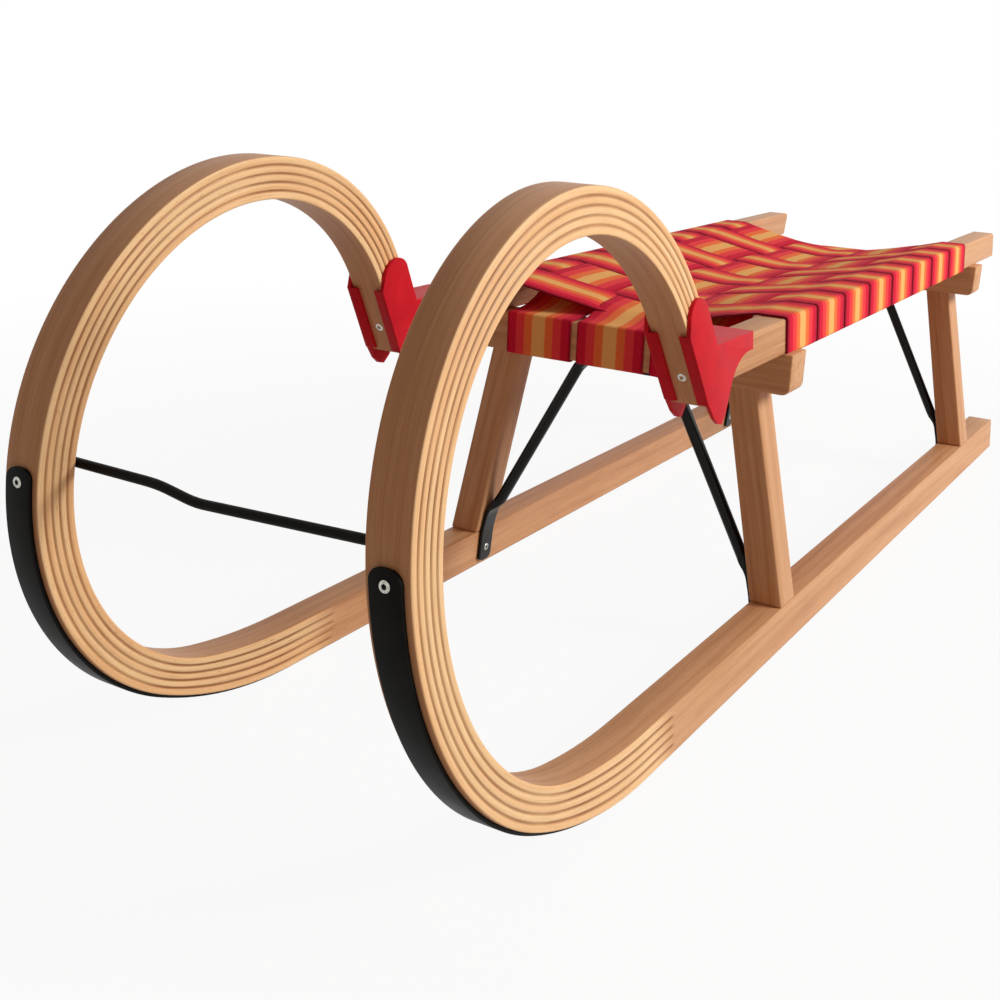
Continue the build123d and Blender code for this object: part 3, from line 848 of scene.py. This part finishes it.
@dataclass(frozen=True)
class Trestle:
    """One cross beam on two tapered legs that lean inward."""

    end: End
    seed: float
    beam_bottom: float = 222.0
    beam_top: float = 256.0
    beam_half_length: float = 155.0
    beam_end_round: float = 7.0
    beam_ease: float = 1.5
    leg_bottom: float = 39.22
    leg_top_inset: float = 23.8
    leg_top_width: float = 26.5
    leg_foot_width: float = 29.0
    leg_ease: float = 2.0
    round_steps: int = 5
    leg_seed: float = 700.0

    def beam_outline(self, rear: float) -> list[tuple[float, float, float]]:
        """Outline of the beam's rear face, with its lower ends rounded."""
        outline = [(rear, sign * self.beam_half_length, self.beam_top) for sign in (1, -1)]
        centre = self.beam_half_length - self.beam_end_round
        for sign in (-1, 1):
            for step in range(self.round_steps + 1):
                share = step / self.round_steps
                turn = math.pi / 2 * (share if sign < 0 else 1 - share)
                outline.append((
                    rear,
                    sign * (centre + self.beam_end_round * math.cos(turn)),
                    self.beam_bottom + self.beam_end_round * (1 - math.sin(turn)),
                ))
        return outline

    def build(self, material: bpy.types.Material) -> None:
        """Build the beam and its two legs."""
        rear, front = self.end.reach()
        thickness = (front - rear, 0, 0)
        beam = plank(
            f"{self.end.value}_cross_beam", self.beam_outline(rear), thickness, (0, 1, 0),
            self.beam_ease, material, self.seed,
        )
        hand_in(beam, "beech", f"{self.end.value}_beam")
        top_outer = SIDE.outer(self.beam_bottom) - self.leg_top_inset
        foot_outer = SIDE.outer(self.leg_bottom)
        for hand in Hand:
            corners = (
                (foot_outer, self.leg_bottom), (top_outer, self.beam_bottom + self.leg_ease),
                (top_outer - self.leg_top_width, self.beam_bottom + self.leg_ease),
                (foot_outer - self.leg_foot_width, self.leg_bottom),
            )
            outline = [(rear, hand.value * across, up) for across, up in corners]
            rise = (0, hand.value * (top_outer - foot_outer), self.beam_bottom - self.leg_bottom)
            leg = plank(
                f"{self.end.value}_tapered_leg_{hand.word}", outline, thickness, rise, self.leg_ease,
                material, self.seed + self.leg_seed * (hand.value + 2),
            )
            hand_in(leg, "beech", f"{self.end.value}_leg_{hand.word}")


@dataclass(frozen=True)
class SeatRail:
    """One straight rail on the beams, leaning with its side, its rear top corner rounded."""

    hand: Hand
    bottom: float = 256.0
    top: float = 284.0
    width: float = 24.0
    end_round: float = 6.0
    round_steps: int = 5
    ease: float = 1.6
    seeds: tuple[float, float] = (900.0, 500.0)

    def build(self, material: bpy.types.Material) -> None:
        """Build the rail and hand it in for its solid."""
        low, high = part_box(f"rail_{self.hand.word}")
        rear, front = low.x / MM, high.x / MM
        lean = math.cos(SIDE.lean)
        corners = [(front, self.bottom), (front, self.top)]
        for step in range(self.round_steps + 1):
            turn = math.pi / 2 * step / self.round_steps
            back, down = 1 - math.sin(turn), 1 - math.cos(turn)
            corners.append((rear + self.end_round * back, self.top - self.end_round * down))
        corners.append((rear, self.bottom))
        outline = [SIDE.place(self.hand, reach, up / lean, 0.0) for reach, up in corners]
        thickness = (0, -self.hand.value * self.width, 0)
        seed = self.seeds[0] + self.seeds[1] * self.hand.value
        rail = plank(
            f"seat_rail_{self.hand.word}", outline, thickness, (1, 0, 0), self.ease, material, seed
        )
        hand_in(rail, "beech", f"rail_{self.hand.word}")


# ---- Sockets, stays and bar


@dataclass(frozen=True)
class HornSocket:
    """Moulded saddle that holds the horn's tail on the rail, its walls' edges rounded."""

    hand: Hand
    merge: float = 0.01
    flat_angle: float = 2.0
    sharp_angle: float = 28.0
    ease: float = 0.7

    def build(self, material: bpy.types.Material) -> None:
        """Build the socket from a merged copy of its solid."""
        name = f"moulded_socket_{self.hand.word}"
        work = bmesh.new()
        work.from_mesh(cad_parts[f"horn_socket_{self.hand.word}"].data)
        bmesh.ops.remove_doubles(work, verts=work.verts, dist=self.merge * MM)
        bmesh.ops.dissolve_limit(
            work, angle_limit=math.radians(self.flat_angle), verts=work.verts, edges=work.edges
        )
        limit = math.radians(self.sharp_angle)
        sharp = [edge for edge in work.edges if edge.calc_face_angle(0.0) > limit]
        ease_edges(work, sharp, self.ease * MM)
        mesh = bpy.data.meshes.new(name)
        work.to_mesh(mesh)
        work.free()
        socket = dress_mesh(name, mesh, material)
        hand_in(socket, "red_plastic", f"horn_socket_{self.hand.word}")


@dataclass(frozen=True)
class TubeStay:
    """Steel tube with both ends pressed flat: a foot on runner and leg, a head under the beam."""

    end: End
    hand: Hand
    diameter: float = 10.4
    plate_width: float = 20.0
    plate_thickness: float = 3.5
    corner: float = 5.0
    press: float = 16.0
    line: tuple = ((140.5, 8.0), (137.55, 39.2), (132.0, 61.0), (124.0, 70.5), (46.0, 214.8),
                   (40.0, 220.0), (5.0, 220.25))
    bend: float = 7.0
    step: float = 1.5
    side_turn: int = 12
    foot_length: float = 54.0
    head_length: float = 26.0
    # How far the section goes from round to a flat bar with rounded corners
    squareness: float = 8.0

    def build(self, material: bpy.types.Material) -> None:
        """Build the stay and hand it in for its solid."""
        rear, front = self.end.reach()
        middle = (rear + front) / 2
        path = np.array(rounded_path(self.line, self.bend, self.step))
        steps = np.r_[0.0, np.cumsum(np.linalg.norm(np.diff(path, axis=0), axis=1))]
        ways = np.gradient(path, axis=0)
        ways /= np.linalg.norm(ways, axis=1)[:, None]
        turns = np.radians(np.arange(0, 360, self.side_turn))
        rings = []
        for (across, up), (way_y, way_z), along in zip(path, ways, steps):
            left = steps[-1] - along
            past_foot = soft_step((along - self.foot_length) / self.press)
            before_head = soft_step((left - self.head_length) / self.press)
            flat = 1 - past_foot * before_head
            near_end = min(along, left, self.corner)
            trim = self.corner - math.sqrt(self.corner**2 - (self.corner - near_end)**2)
            half_width = (self.diameter + flat * (self.plate_width - self.diameter)) / 2 - trim
            half_thick = (self.diameter + flat * (self.plate_thickness - self.diameter)) / 2
            power = 2 / (2 + self.squareness * flat)
            wide = half_width * np.sign(np.cos(turns)) * np.abs(np.cos(turns)) ** power
            thick = half_thick * np.sign(np.sin(turns)) * np.abs(np.sin(turns)) ** power
            rings.append(np.stack([
                middle + wide, self.hand.value * (across - thick * way_z), up + thick * way_y
            ], axis=-1))
        points, faces = ring_skin(np.array(rings))
        stay = make_piece(f"{self.end.value}_tube_stay_{self.hand.word}", points, faces, material)
        hand_in(stay, "black_steel", f"{self.end.value}_stay_{self.hand.word}")


@dataclass(frozen=True)
class HornBar:
    """Round bar against the horns' hollow sides, with one easy crank to the right of its middle."""

    diameter: float = 6.4
    line: tuple = ((142.0, 233.6), (-22.0, 226.6), (-30.0, 227.2), (-52.0, 231.2), (-62.0, 231.9),
                   (-142.0, 232.2))
    bend: float = 12.0
    step: float = 3.0
    sides: int = 24
    hollow_shift: float = 0.8
    end_ease: tuple = ((0.0, 0.72), (0.4, 0.9), (1.2, 1.0))

    def build(self, material: bpy.types.Material) -> None:
        """Build the bar and hand it in for its solid."""
        low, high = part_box("horn_bar")
        reach = (low.x + high.x) / 2 / MM + self.hollow_shift
        path = rounded_path(self.line, self.bend, self.step)
        start, stop = path[0][0], path[-1][0]
        turns = 2 * math.pi * np.arange(self.sides) / self.sides
        places, sizes = zip(*self.end_ease)
        rings = []
        for across, up in path:
            left = min(start - across, across - stop)
            radius = self.diameter / 2 * np.interp(left, places, sizes)
            rings.append(np.stack([
                reach + radius * np.cos(turns), np.full(len(turns), across), up + radius * np.sin(turns),
            ], axis=-1))
        points, faces = ring_skin(np.array(rings))
        hand_in(make_piece("cranked_horn_bar", points, faces, material), "black_steel", "horn_bar")


# ---- Woven seat


@dataclass(frozen=True)
class WovenSeat:
    """Eight cross straps round the rails and three long straps round the beams, woven over and under."""

    rail_top: float = 284.0
    rail_bottom: float = 256.0
    rail_inner: float = 121.16
    rail_width: float = 24.0
    beam_bottom: float = 222.0
    thickness: float = 2.0
    front_setback: float = 1.5
    cross_pitch: float = 72.0
    cross_width: float = 70.0
    cross_count: int = 8
    long_start: float = -111.76
    long_pitch: float = 71.07
    long_width: float = 64.77
    long_count: int = 3
    weave_lift: float = 1.15
    middle_depth: float = 16.2
    sag_power: float = 1.32
    rear_drop: float = 6.5
    front_bow: float = 30.0
    rear_bow: float = 12.0
    front_dip: float = 9.0
    dip_length: float = 72.0
    dip_power: float = 1.3
    dip_most: float = 1.2
    bow_power: float = 1.4
    # Steepness of a strap's change from over to under
    weave_slope: float = 3.2
    # Distance from a strap's border and the share of its thickness there
    edge_steps: tuple = ((0.0, 0.3), (0.25, 0.72), (0.7, 0.95), (1.5, 1.0), (4.0, 1.0))
    inner_places: int = 15
    fold_step: float = 4.0
    cross_fold: float = 2.6
    cross_tuck: float = 4.0
    cross_stations: int = 99
    long_fold: float = 3.0
    long_tuck: float = 5.0
    long_step: float = 2.6
    long_gap: float = 1.5
    # The long straps lie a little above the beam, and the cross straps' ends clear it
    long_rise: float = 0.3
    beam_clearance: float = 1.2
    # Where the long straps leave the weave for the front beam, from the seat's front edge
    side_join: float = 72.0
    middle_join: float = 50.0
    join_power: float = 2.5
    # How far past a beam or the seat's end a place still counts as on it
    margin: float = 1.0
    cross_seed: float = 37.0
    long_seed: float = 500.0

    @property
    def front(self) -> float:
        """Front edge of the first cross strap."""
        return End.FRONT.reach()[1] - self.front_setback

    @property
    def rear(self) -> float:
        """Rear edge of the last cross strap."""
        return self.front - self.cross_count * self.cross_pitch + self.cross_pitch - self.cross_width

    def openness(self, across: np.ndarray) -> np.ndarray:
        """Give 1 in the middle of the seat and 0 at the rails."""
        return np.clip(1 - (across / self.rail_inner) ** 2, 0, 1)

    def level(self, reach: np.ndarray, across: np.ndarray) -> np.ndarray:
        """Give the height of the middle of the weave at each place."""
        sag = self.middle_depth * (1 - np.clip(np.abs(across) / self.rail_inner, 0, 1) ** self.sag_power)
        seat_length = self.cross_pitch * (self.cross_count - 1)
        rearward = np.clip((self.front - self.cross_width / 2 - reach) / seat_length, 0, 1)
        slack = self.openness(across)
        tight = self.front - self.front_bow - self.dip_length
        forward = np.clip((reach - tight) / self.dip_length, 0, self.dip_most) ** self.dip_power
        drop = self.rear_drop * rearward * slack + self.front_dip * slack**2 * forward
        return self.rail_top + self.thickness / 2 - sag - drop

    def weave(self, reach: np.ndarray, across: np.ndarray) -> np.ndarray:
        """Give 1 where the cross strap is on top, -1 where the long strap is, and 0 at the borders."""
        first_long = self.long_start + self.long_width / 2
        along = np.cos(np.pi * (reach - self.front + self.cross_width / 2) / self.cross_pitch)
        beside = np.cos(np.pi * (across - first_long) / self.long_pitch)
        half = self.long_pitch / 2
        last_long = first_long + (self.long_count - 1) * self.long_pitch
        beside = np.where((across < first_long - half) | (across > last_long + half), 0, beside)
        past = (reach > self.front + self.margin) | (reach < self.rear - self.margin)
        along = np.where(past, 0, along)
        return np.tanh(self.weave_slope * along) * np.tanh(self.weave_slope * beside)

    def bands(self, width: float) -> tuple[np.ndarray, np.ndarray]:
        """Give places across a strap and the share of its thickness at each."""
        edge = [(width / 2 - draw, share) for draw, share in self.edge_steps]
        inner = width / 2 - self.edge_steps[-1][0]
        middle = [(place, 1.0) for place in np.linspace(inner, -inner, self.inner_places + 2)[1:-1]]
        whole = edge + middle + [(-place, share) for place, share in reversed(edge)]
        return np.array([spot[0] for spot in whole]), np.array([spot[1] for spot in whole])

    def ribbon(
        self, name: str, middle: np.ndarray, places: np.ndarray, shares: np.ndarray, seed: float,
        material: bpy.types.Material,
    ) -> bpy.types.Object:
        """Give a strap's middle surface its thickness.

        Args:
            name: Name of the new object.
            middle: Points in millimetres, shaped stations by places across by three.
            places: Distance of each place from the strap's middle line.
            shares: Share of the thickness at each place.
            seed: Number that sets the cloth's small changes apart from other straps'.
            material: Finish.

        Returns:
            The linked strap.
        """
        along_way, across_way = np.gradient(middle, axis=0), np.gradient(middle, axis=1)
        normals = np.cross(along_way, across_way)
        normals /= np.linalg.norm(normals, axis=2)[:, :, None]
        lift = normals * (shares * self.thickness / 2)[None, :, None]
        rings = np.concatenate([middle + lift, (middle - lift)[:, ::-1]], axis=1)
        steps = np.linalg.norm(np.diff(middle[:, len(places) // 2], axis=0), axis=1)
        along = np.r_[0.0, np.cumsum(steps)]
        ring_places = np.r_[places, places[::-1]]
        cloth = np.stack([
            np.repeat(along, len(ring_places)), np.tile(ring_places, len(along)),
            np.full(len(along) * len(ring_places), seed),
        ], axis=-1)
        points, faces = ring_skin(rings)
        return make_piece(name, points, faces, material, {"cloth": cloth})

    def cross_strap(self, index: int, material: bpy.types.Material) -> None:
        """Build one cross strap, from under one rail to under the other."""
        outer_low, outer_high = SIDE.outer(self.rail_bottom), SIDE.outer(self.rail_top)
        out = self.thickness / 2
        under, over = self.rail_bottom - out, self.rail_top + out
        wrap = rounded_path((
            (outer_low - self.rail_width + self.cross_tuck, under), (outer_low + out, under),
            (outer_high + out, over), (self.rail_inner, over),
        ), self.cross_fold, self.fold_step)
        inner = np.linspace(self.rail_inner, -self.rail_inner, self.cross_stations + 2)[1:-1]
        span = [(across, None) for across in inner]
        line = wrap + span + [(-across, up) for across, up in reversed(wrap)]
        places, shares = self.bands(self.cross_width)
        centre = self.front - self.cross_width / 2 - index * self.cross_pitch
        beam_rear, beam_front = End.FRONT.reach()
        rows = []
        for across, up in line:
            bow = np.zeros(len(places))
            if index == 0:
                share = (places + self.cross_width / 2) / self.cross_width
                draw = self.rear_bow + (self.front_bow - self.rear_bow) * share
                bow = draw * float(self.openness(np.array(across))) ** self.bow_power
            reach = centre + places - bow
            y = np.full(len(places), across)
            if up is None:
                z = self.level(reach, y) + self.weave_lift * self.weave(centre + places, y)
            else:
                on_beam = (reach > beam_rear - self.margin) & (reach < beam_front + self.margin)
                z = np.where(on_beam, max(up, self.rail_bottom + self.beam_clearance), up)
            rows.append(np.stack([reach, y, z], axis=-1))
        seed = self.cross_seed * index
        strap = self.ribbon(f"cross_webbing_{index + 1}", np.array(rows), places, shares, seed, material)
        hand_in(strap, "webbing", f"cross_strap_{index + 1}")

    def long_strap(self, index: int, material: bpy.types.Material) -> None:
        """Build one long strap, from under the front beam to under the rear beam."""
        front_face, rear_face = End.FRONT.reach()[1], End.REAR.reach()[0]
        out = self.thickness / 2
        top, under = self.rail_bottom + out, self.beam_bottom - out
        front_edge, rear_edge = front_face - self.long_tuck, rear_face + self.long_tuck
        level = top + self.long_rise
        front_wrap = rounded_path((
            (front_edge, under), (front_face + out, under), (front_face + out, top), (front_edge, level),
        ), self.long_fold, self.fold_step)
        rear_wrap = rounded_path((
            (rear_edge, level), (rear_face - out, top), (rear_face - out, under), (rear_edge, under),
        ), self.long_fold, self.fold_step)
        inner = np.arange(front_edge - self.long_gap, rear_edge + out, -self.long_step)
        span = [(reach, None) for reach in inner]
        middle_strap = index == 1
        joins = self.front - (self.middle_join if middle_strap else self.side_join)
        places, shares = self.bands(self.long_width)
        y = self.long_start + self.long_width / 2 + index * self.long_pitch - places
        last_rear, last_front = np.full(len(y), self.rear), np.full(len(y), joins)
        front_start = self.level(last_front, y) - self.weave_lift * self.weave(last_front, y)
        rear_start = self.level(last_rear, y)
        rows = []
        for reach, up in front_wrap + span + rear_wrap:
            x = np.full(len(places), reach)
            if up is not None:
                z = np.full(len(places), up)
            elif reach > joins:
                share = (reach - joins) / (front_edge - joins)
                ease = soft_step(share) if middle_strap else 1 - (1 - share) ** self.join_power
                z = front_start + (level - front_start) * ease
            elif reach < self.rear:
                z = rear_start + (level - rear_start) * (self.rear - reach) / (self.rear - rear_edge)
            else:
                z = self.level(x, y) - self.weave_lift * self.weave(x, y)
            rows.append(np.stack([x, y, z], axis=-1))
        seed = self.long_seed + self.cross_seed * index
        strap = self.ribbon(f"long_webbing_{index + 1}", np.array(rows), places, shares, seed, material)
        hand_in(strap, "webbing", f"long_strap_{index + 1}")

    def build(self, material: bpy.types.Material) -> None:
        """Build all the straps."""
        for index in range(self.cross_count):
            self.cross_strap(index, material)
        for index in range(self.long_count):
            self.long_strap(index, material)


# ---- Screws


@dataclass(frozen=True)
class ScrewSet:
    """Countersunk lobed-recess screws, set out by a node tree from a table of places and ways."""

    head_width: float = 7.0
    seed: int = 7
    sides: int = 24
    lobes: int = 6
    # One head of unit width: radius, height, and whether the ring belongs to the recess
    head_rings: tuple = ((0.50, -0.10, False), (0.50, 0.0, False), (0.46, 0.045, False),
                         (0.36, 0.07, False), (0.25, 0.05, True), (0.22, -0.30, True))
    lobe_depth: float = 0.78
    inset: float = 14.5
    shoe_places: tuple = (60.0, 250.0, 440.0, 630.0, 820.0, 1000.0)
    # Domes under the shoes stand out by under 0.1 mm, so that the sled still stands on the shoes
    shoe_climb: float = 0.42
    shoe_top_turn: float = 93.9
    shoe_thickness: float = 3.0
    tail_height: float = 266.0
    tail_tries: int = 50
    runner_top: float = 39.2
    foot_heights: tuple = (21.0, 54.0)
    # Inner face of runner and leg at the runner's top, by height: distance from the middle and slope
    runner_face: tuple[float, float] = (139.2956, 0.0945)
    leg_face: tuple[float, float] = (139.3, 0.211)
    foot_thickness: float = 3.6
    head_place: tuple[float, float] = (15.0, 218.4)

    def head(self) -> bpy.types.Object:
        """Model one screw head of unit width: low dome, with a six-lobed recess closed at its bottom."""
        work = bmesh.new()
        rings = []
        pitch = self.sides // self.lobes
        for radius, height, recessed in self.head_rings:
            ring = []
            for side in range(self.sides):
                turn = 2 * math.pi * side / self.sides
                lobe = self.lobe_depth if recessed and side % pitch == pitch // 2 else 1.0
                ring.append(work.verts.new((
                    radius * lobe * math.cos(turn), radius * lobe * math.sin(turn), height
                )))
            rings.append(ring)
        for low, high in zip(rings, rings[1:]):
            for side in range(self.sides):
                after = (side + 1) % self.sides
                work.faces.new((low[side], low[after], high[after], high[side]))
        work.faces.new(reversed(rings[0]))
        work.faces.new(rings[-1])
        mesh = bpy.data.meshes.new("screw_head")
        bmesh.ops.recalc_face_normals(work, faces=work.faces)
        work.to_mesh(mesh)
        work.free()
        return bpy.data.objects.new("screw_head", mesh)

    def places(self) -> list[tuple[Vector, Vector]]:
        """List each screw's place in millimetres and the way its head faces."""
        found = []
        for hand in Hand:
            for along in self.shoe_places:
                spot = SIDE.place(hand, HEEL + along, self.shoe_climb, self.inset)
                found.append((Vector(spot.tolist()), Vector((0, 0, -1))))
            turn = math.radians(self.shoe_top_turn)
            reach, climb = LINE.point(0.0, self.shoe_top_turn, -self.shoe_thickness)
            spot = SIDE.place(hand, reach, climb, self.inset)
            found.append((Vector(spot.tolist()), Vector((math.sin(turn), 0, -math.cos(turn)))))
            station = min(
                (LINE.turn + step / self.tail_tries for step in range(self.tail_tries + 1)),
                key=lambda here: abs(LINE.point(1.0, here)[1] * math.cos(SIDE.lean) - self.tail_height),
            )
            spot = SIDE.place(hand, *LINE.point(1.0, station), self.inset)
            slope = math.radians(LINE.turn)
            found.append((Vector(spot.tolist()), Vector((-math.sin(slope), 0, math.cos(slope)))))
            for end in End:
                middle = sum(end.reach()) / 2
                for height in self.foot_heights:
                    inner, slope = self.runner_face if height < self.runner_top else self.leg_face
                    across = inner - slope * (height - self.runner_top) - self.foot_thickness
                    spot = Vector((middle, hand.value * across, height))
                    found.append((spot, Vector((0, -hand.value, -slope))))
                across, up = self.head_place
                found.append((Vector((middle, hand.value * across, up)), Vector((0, 0, -1))))
        return found

    def tree(self) -> bpy.types.NodeTree:
        """Make the node tree that sets a head on each point, facing along the point's attribute."""
        tree = bpy.data.node_groups.new("set_screws", "GeometryNodeTree")
        kinds = {"Geometry": "Geometry", "Head": "Object", "Head width": "Float", "Seed": "Int",
                 "Finish": "Material"}
        for name, kind in kinds.items():
            tree.interface.new_socket(name, in_out="INPUT", socket_type=f"NodeSocket{kind}")
        tree.interface.new_socket("Geometry", in_out="OUTPUT", socket_type="NodeSocketGeometry")
        given = add_node(tree, "NodeGroupInput").outputs
        head = add_node(tree, "GeometryNodeObjectInfo", Object=given["Head"])
        facing = add_node(
            tree, "GeometryNodeInputNamedAttribute", {"data_type": "FLOAT_VECTOR"}, Name="facing"
        )
        align = add_node(
            tree, "FunctionNodeAlignRotationToVector", {"axis": "Z"}, Vector=facing.outputs[0]
        )
        chance = add_node(
            tree, "FunctionNodeRandomValue", {"data_type": "FLOAT"}, i3=2 * math.pi, Seed=given["Seed"]
        )
        spin = add_node(tree, "FunctionNodeAxisAngleToRotation", Angle=chance.outputs[1])
        turned = add_node(
            tree, "FunctionNodeRotateRotation", {"rotation_space": "LOCAL"}, i0=align.outputs[0],
            i1=spin.outputs[0],
        )
        setting = add_node(
            tree, "GeometryNodeInstanceOnPoints", Points=given["Geometry"],
            Instance=head.outputs["Geometry"], Rotation=turned.outputs[0], Scale=given["Head width"],
        )
        real = add_node(tree, "GeometryNodeRealizeInstances", i0=setting.outputs[0])
        finish = add_node(
            tree, "GeometryNodeSetMaterial", Geometry=real.outputs[0], Material=given["Finish"]
        )
        add_node(tree, "NodeGroupOutput", i0=finish.outputs[0])
        return tree

    def build(self, material: bpy.types.Material) -> None:
        """Set the screws and turn them into one plain mesh."""
        found = self.places()
        mesh = bpy.data.meshes.new("screw_places")
        mesh.from_pydata([tuple(place * MM) for place, _ in found], [], [])
        data = mesh.attributes.new("facing", "FLOAT_VECTOR", "POINT").data
        data.foreach_set("vector", [part for _, way in found for part in way.normalized()])
        carrier = bpy.data.objects.new("screw_places", mesh)
        bpy.context.collection.objects.link(carrier)
        head = self.head()
        modifier = carrier.modifiers.new("screws", "NODES")
        tree = self.tree()
        modifier.node_group = tree
        values = {
            "Head": head, "Head width": self.head_width * MM, "Seed": self.seed, "Finish": material,
        }
        for item in tree.interface.items_tree:
            if item.in_out == "INPUT" and item.name in values:
                modifier[item.identifier] = values[item.name]
        bpy.context.view_layer.update()
        graph = bpy.context.evaluated_depsgraph_get()
        solid = bpy.data.meshes.new_from_object(carrier.evaluated_get(graph))
        carrier.modifiers.clear()
        bpy.data.objects.remove(carrier)
        bpy.data.objects.remove(head)
        solid.name = "zinc_screws"
        screws = dress_mesh("zinc_screws", solid, material)
        hand_in(screws, "black_steel")


# ---- Stage


@dataclass(frozen=True)
class Studio:
    """Pale floor, one soft key lamp and the camera at the photograph's viewing angle."""

    camera_place: tuple = (1.14171, 0.50241, 0.48274)
    lens: float = 48.04
    yaw: float = 0.5453
    pitch: float = -0.3282
    roll: float = 0.0356
    ambient: float = 0.26
    ambient_colour: str = "FFE6DC"
    key_way: tuple = (-0.29, 0.83, 0.47)
    key_distance: float = 3.2
    key_size: float = 1.1
    key_aim: float = 0.15
    key_power: float = 84.0
    floor_size: float = 60.0
    floor_tones: tuple[str, str] = ("D3CAC4", "DAD2CC")
    speck_scale: float = 400.0
    speck_stops: tuple[float, float] = (0.3, 0.7)
    # Share of plain white that a seen floor has at the sled, where the rest is shadow, and far from it
    floor_white: tuple[float, float] = (0.93, 1.0)
    white_reach: tuple[float, float] = (0.7, 1.7)

    def camera(self) -> None:
        """Set up the camera."""
        data = bpy.data.cameras.new("camera")
        data.lens = self.lens
        camera = bpy.data.objects.new("camera", data)
        flat = math.cos(self.pitch)
        ahead = Vector((-math.cos(self.yaw) * flat, -math.sin(self.yaw) * flat, math.sin(self.pitch)))
        level = Vector((-math.sin(self.yaw), math.cos(self.yaw), 0))
        upright = level.cross(ahead)
        right = math.cos(self.roll) * level + math.sin(self.roll) * upright
        upward = -math.sin(self.roll) * level + math.cos(self.roll) * upright
        turn = Matrix((right, upward, -ahead)).transposed().to_4x4()
        camera.matrix_world = Matrix.Translation(self.camera_place) @ turn
        bpy.context.collection.objects.link(camera)
        bpy.context.scene.camera = camera

    def lamp(self) -> None:
        """Set up the key lamp."""
        data = bpy.data.lights.new("key", "AREA")
        data.energy = self.key_power
        data.size = self.key_size
        lamp = bpy.data.objects.new("key", data)
        way = Vector(self.key_way).normalized()
        lamp.location = way * self.key_distance + Vector((0, 0, self.key_aim))
        lamp.rotation_euler = way.to_track_quat("Z", "Y").to_euler()
        bpy.context.collection.objects.link(lamp)

    def world(self) -> None:
        """Make the world white where it is seen, and a plain soft light elsewhere."""
        world = bpy.data.worlds.new("studio")
        bpy.context.scene.world = world
        world.use_nodes = True
        tree = world.node_tree
        tree.nodes.clear()
        rays = add_node(tree, "ShaderNodeLightPath").outputs
        share = rays["Is Camera Ray"]
        for other in ("Is Glossy Ray", "Is Transmission Ray"):
            most = add_node(tree, "ShaderNodeMath", {"operation": "MAXIMUM"}, i0=share, i1=rays[other])
            share = most.outputs[0]
        strength = add_node(tree, "ShaderNodeMapRange", Value=share, To_Min=self.ambient, To_Max=1.0)
        tint = add_node(
            tree, "ShaderNodeMix", {"data_type": "RGBA"}, i0=share, i6=linear(self.ambient_colour),
            i7=linear(WHITE),
        )
        back = add_node(
            tree, "ShaderNodeBackground", Color=tint.outputs[2], Strength=strength.outputs[0]
        )
        add_node(tree, "ShaderNodeOutputWorld", i0=back.outputs[0])

    def floor(self) -> None:
        """Lay the floor: matt white paper that keeps the sled's shadow and runs out to plain white."""
        sheet = Sheet("matt_white_paper_floor")
        place = sheet.add("ShaderNodeTexCoord").outputs["Object"]
        far = sheet.add("ShaderNodeVectorMath", {"operation": "LENGTH"}, i0=place).outputs["Value"]
        fade = sheet.fit(far, *self.floor_white, self.white_reach)
        rays = sheet.add("ShaderNodeLightPath").outputs
        seen = sheet.reckon("MAXIMUM", rays["Is Camera Ray"], rays["Is Glossy Ray"])
        share = sheet.reckon("MULTIPLY", seen, fade)
        speck = sheet.add("ShaderNodeTexNoise", Vector=place, Scale=self.speck_scale).outputs[0]
        paper = sheet.ramp(speck, self.speck_stops, self.floor_tones)
        matt = sheet.add("ShaderNodeBsdfDiffuse", Color=paper)
        glow = sheet.add("ShaderNodeEmission", Color=(1, 1, 1, 1), Strength=1.0)
        mixed = sheet.add("ShaderNodeMixShader", i0=share, i1=matt.outputs[0], i2=glow.outputs[0])
        material = sheet.end(mixed)
        half = self.floor_size / 2
        mesh = bpy.data.meshes.new("floor")
        corners = [(-half, -half, 0), (half, -half, 0), (half, half, 0), (-half, half, 0)]
        mesh.from_pydata(corners, [], [(0, 1, 2, 3)])
        mesh.materials.append(material)
        floor = bpy.data.objects.new("floor", mesh)
        bpy.context.collection.objects.link(floor)

    def build(self) -> None:
        """Set up the whole stage."""
        self.camera()
        self.lamp()
        self.world()
        self.floor()
        bpy.context.scene.view_settings.view_transform = "Standard"


def write_size() -> None:
    bpy.context.view_layer.update()


def main() -> None:
    """Build the sled's pieces in order, then the stage."""
    beech = VarnishedBeech().build()
    lath_beech = VarnishedBeech(name="laminated_varnished_beech", glued=True).build()
    satin, gloss = SATIN_STEEL.build(), GLOSS_STEEL.build()
    red, zinc = MOULDED_RED.build(), ZINC_PLATE.build()
    cloth = StripedWebbing().build()
    for hand in Hand:
        BentRunner(hand).build(lath_beech)
        RunnerShoe(hand).build(satin)
        SeatRail(hand).build(beech)
        HornSocket(hand).build(red)
    for end, seed in ((End.FRONT, 100.0), (End.REAR, 3100.0)):
        Trestle(end, seed).build(beech)
        for hand in Hand:
            TubeStay(end, hand).build(gloss)
    HornBar().build(satin)
    WovenSeat().build(cloth)
    ScrewSet().build(zinc)
    Studio().build()
    write_size()


if __name__ == "__main__":
    main()
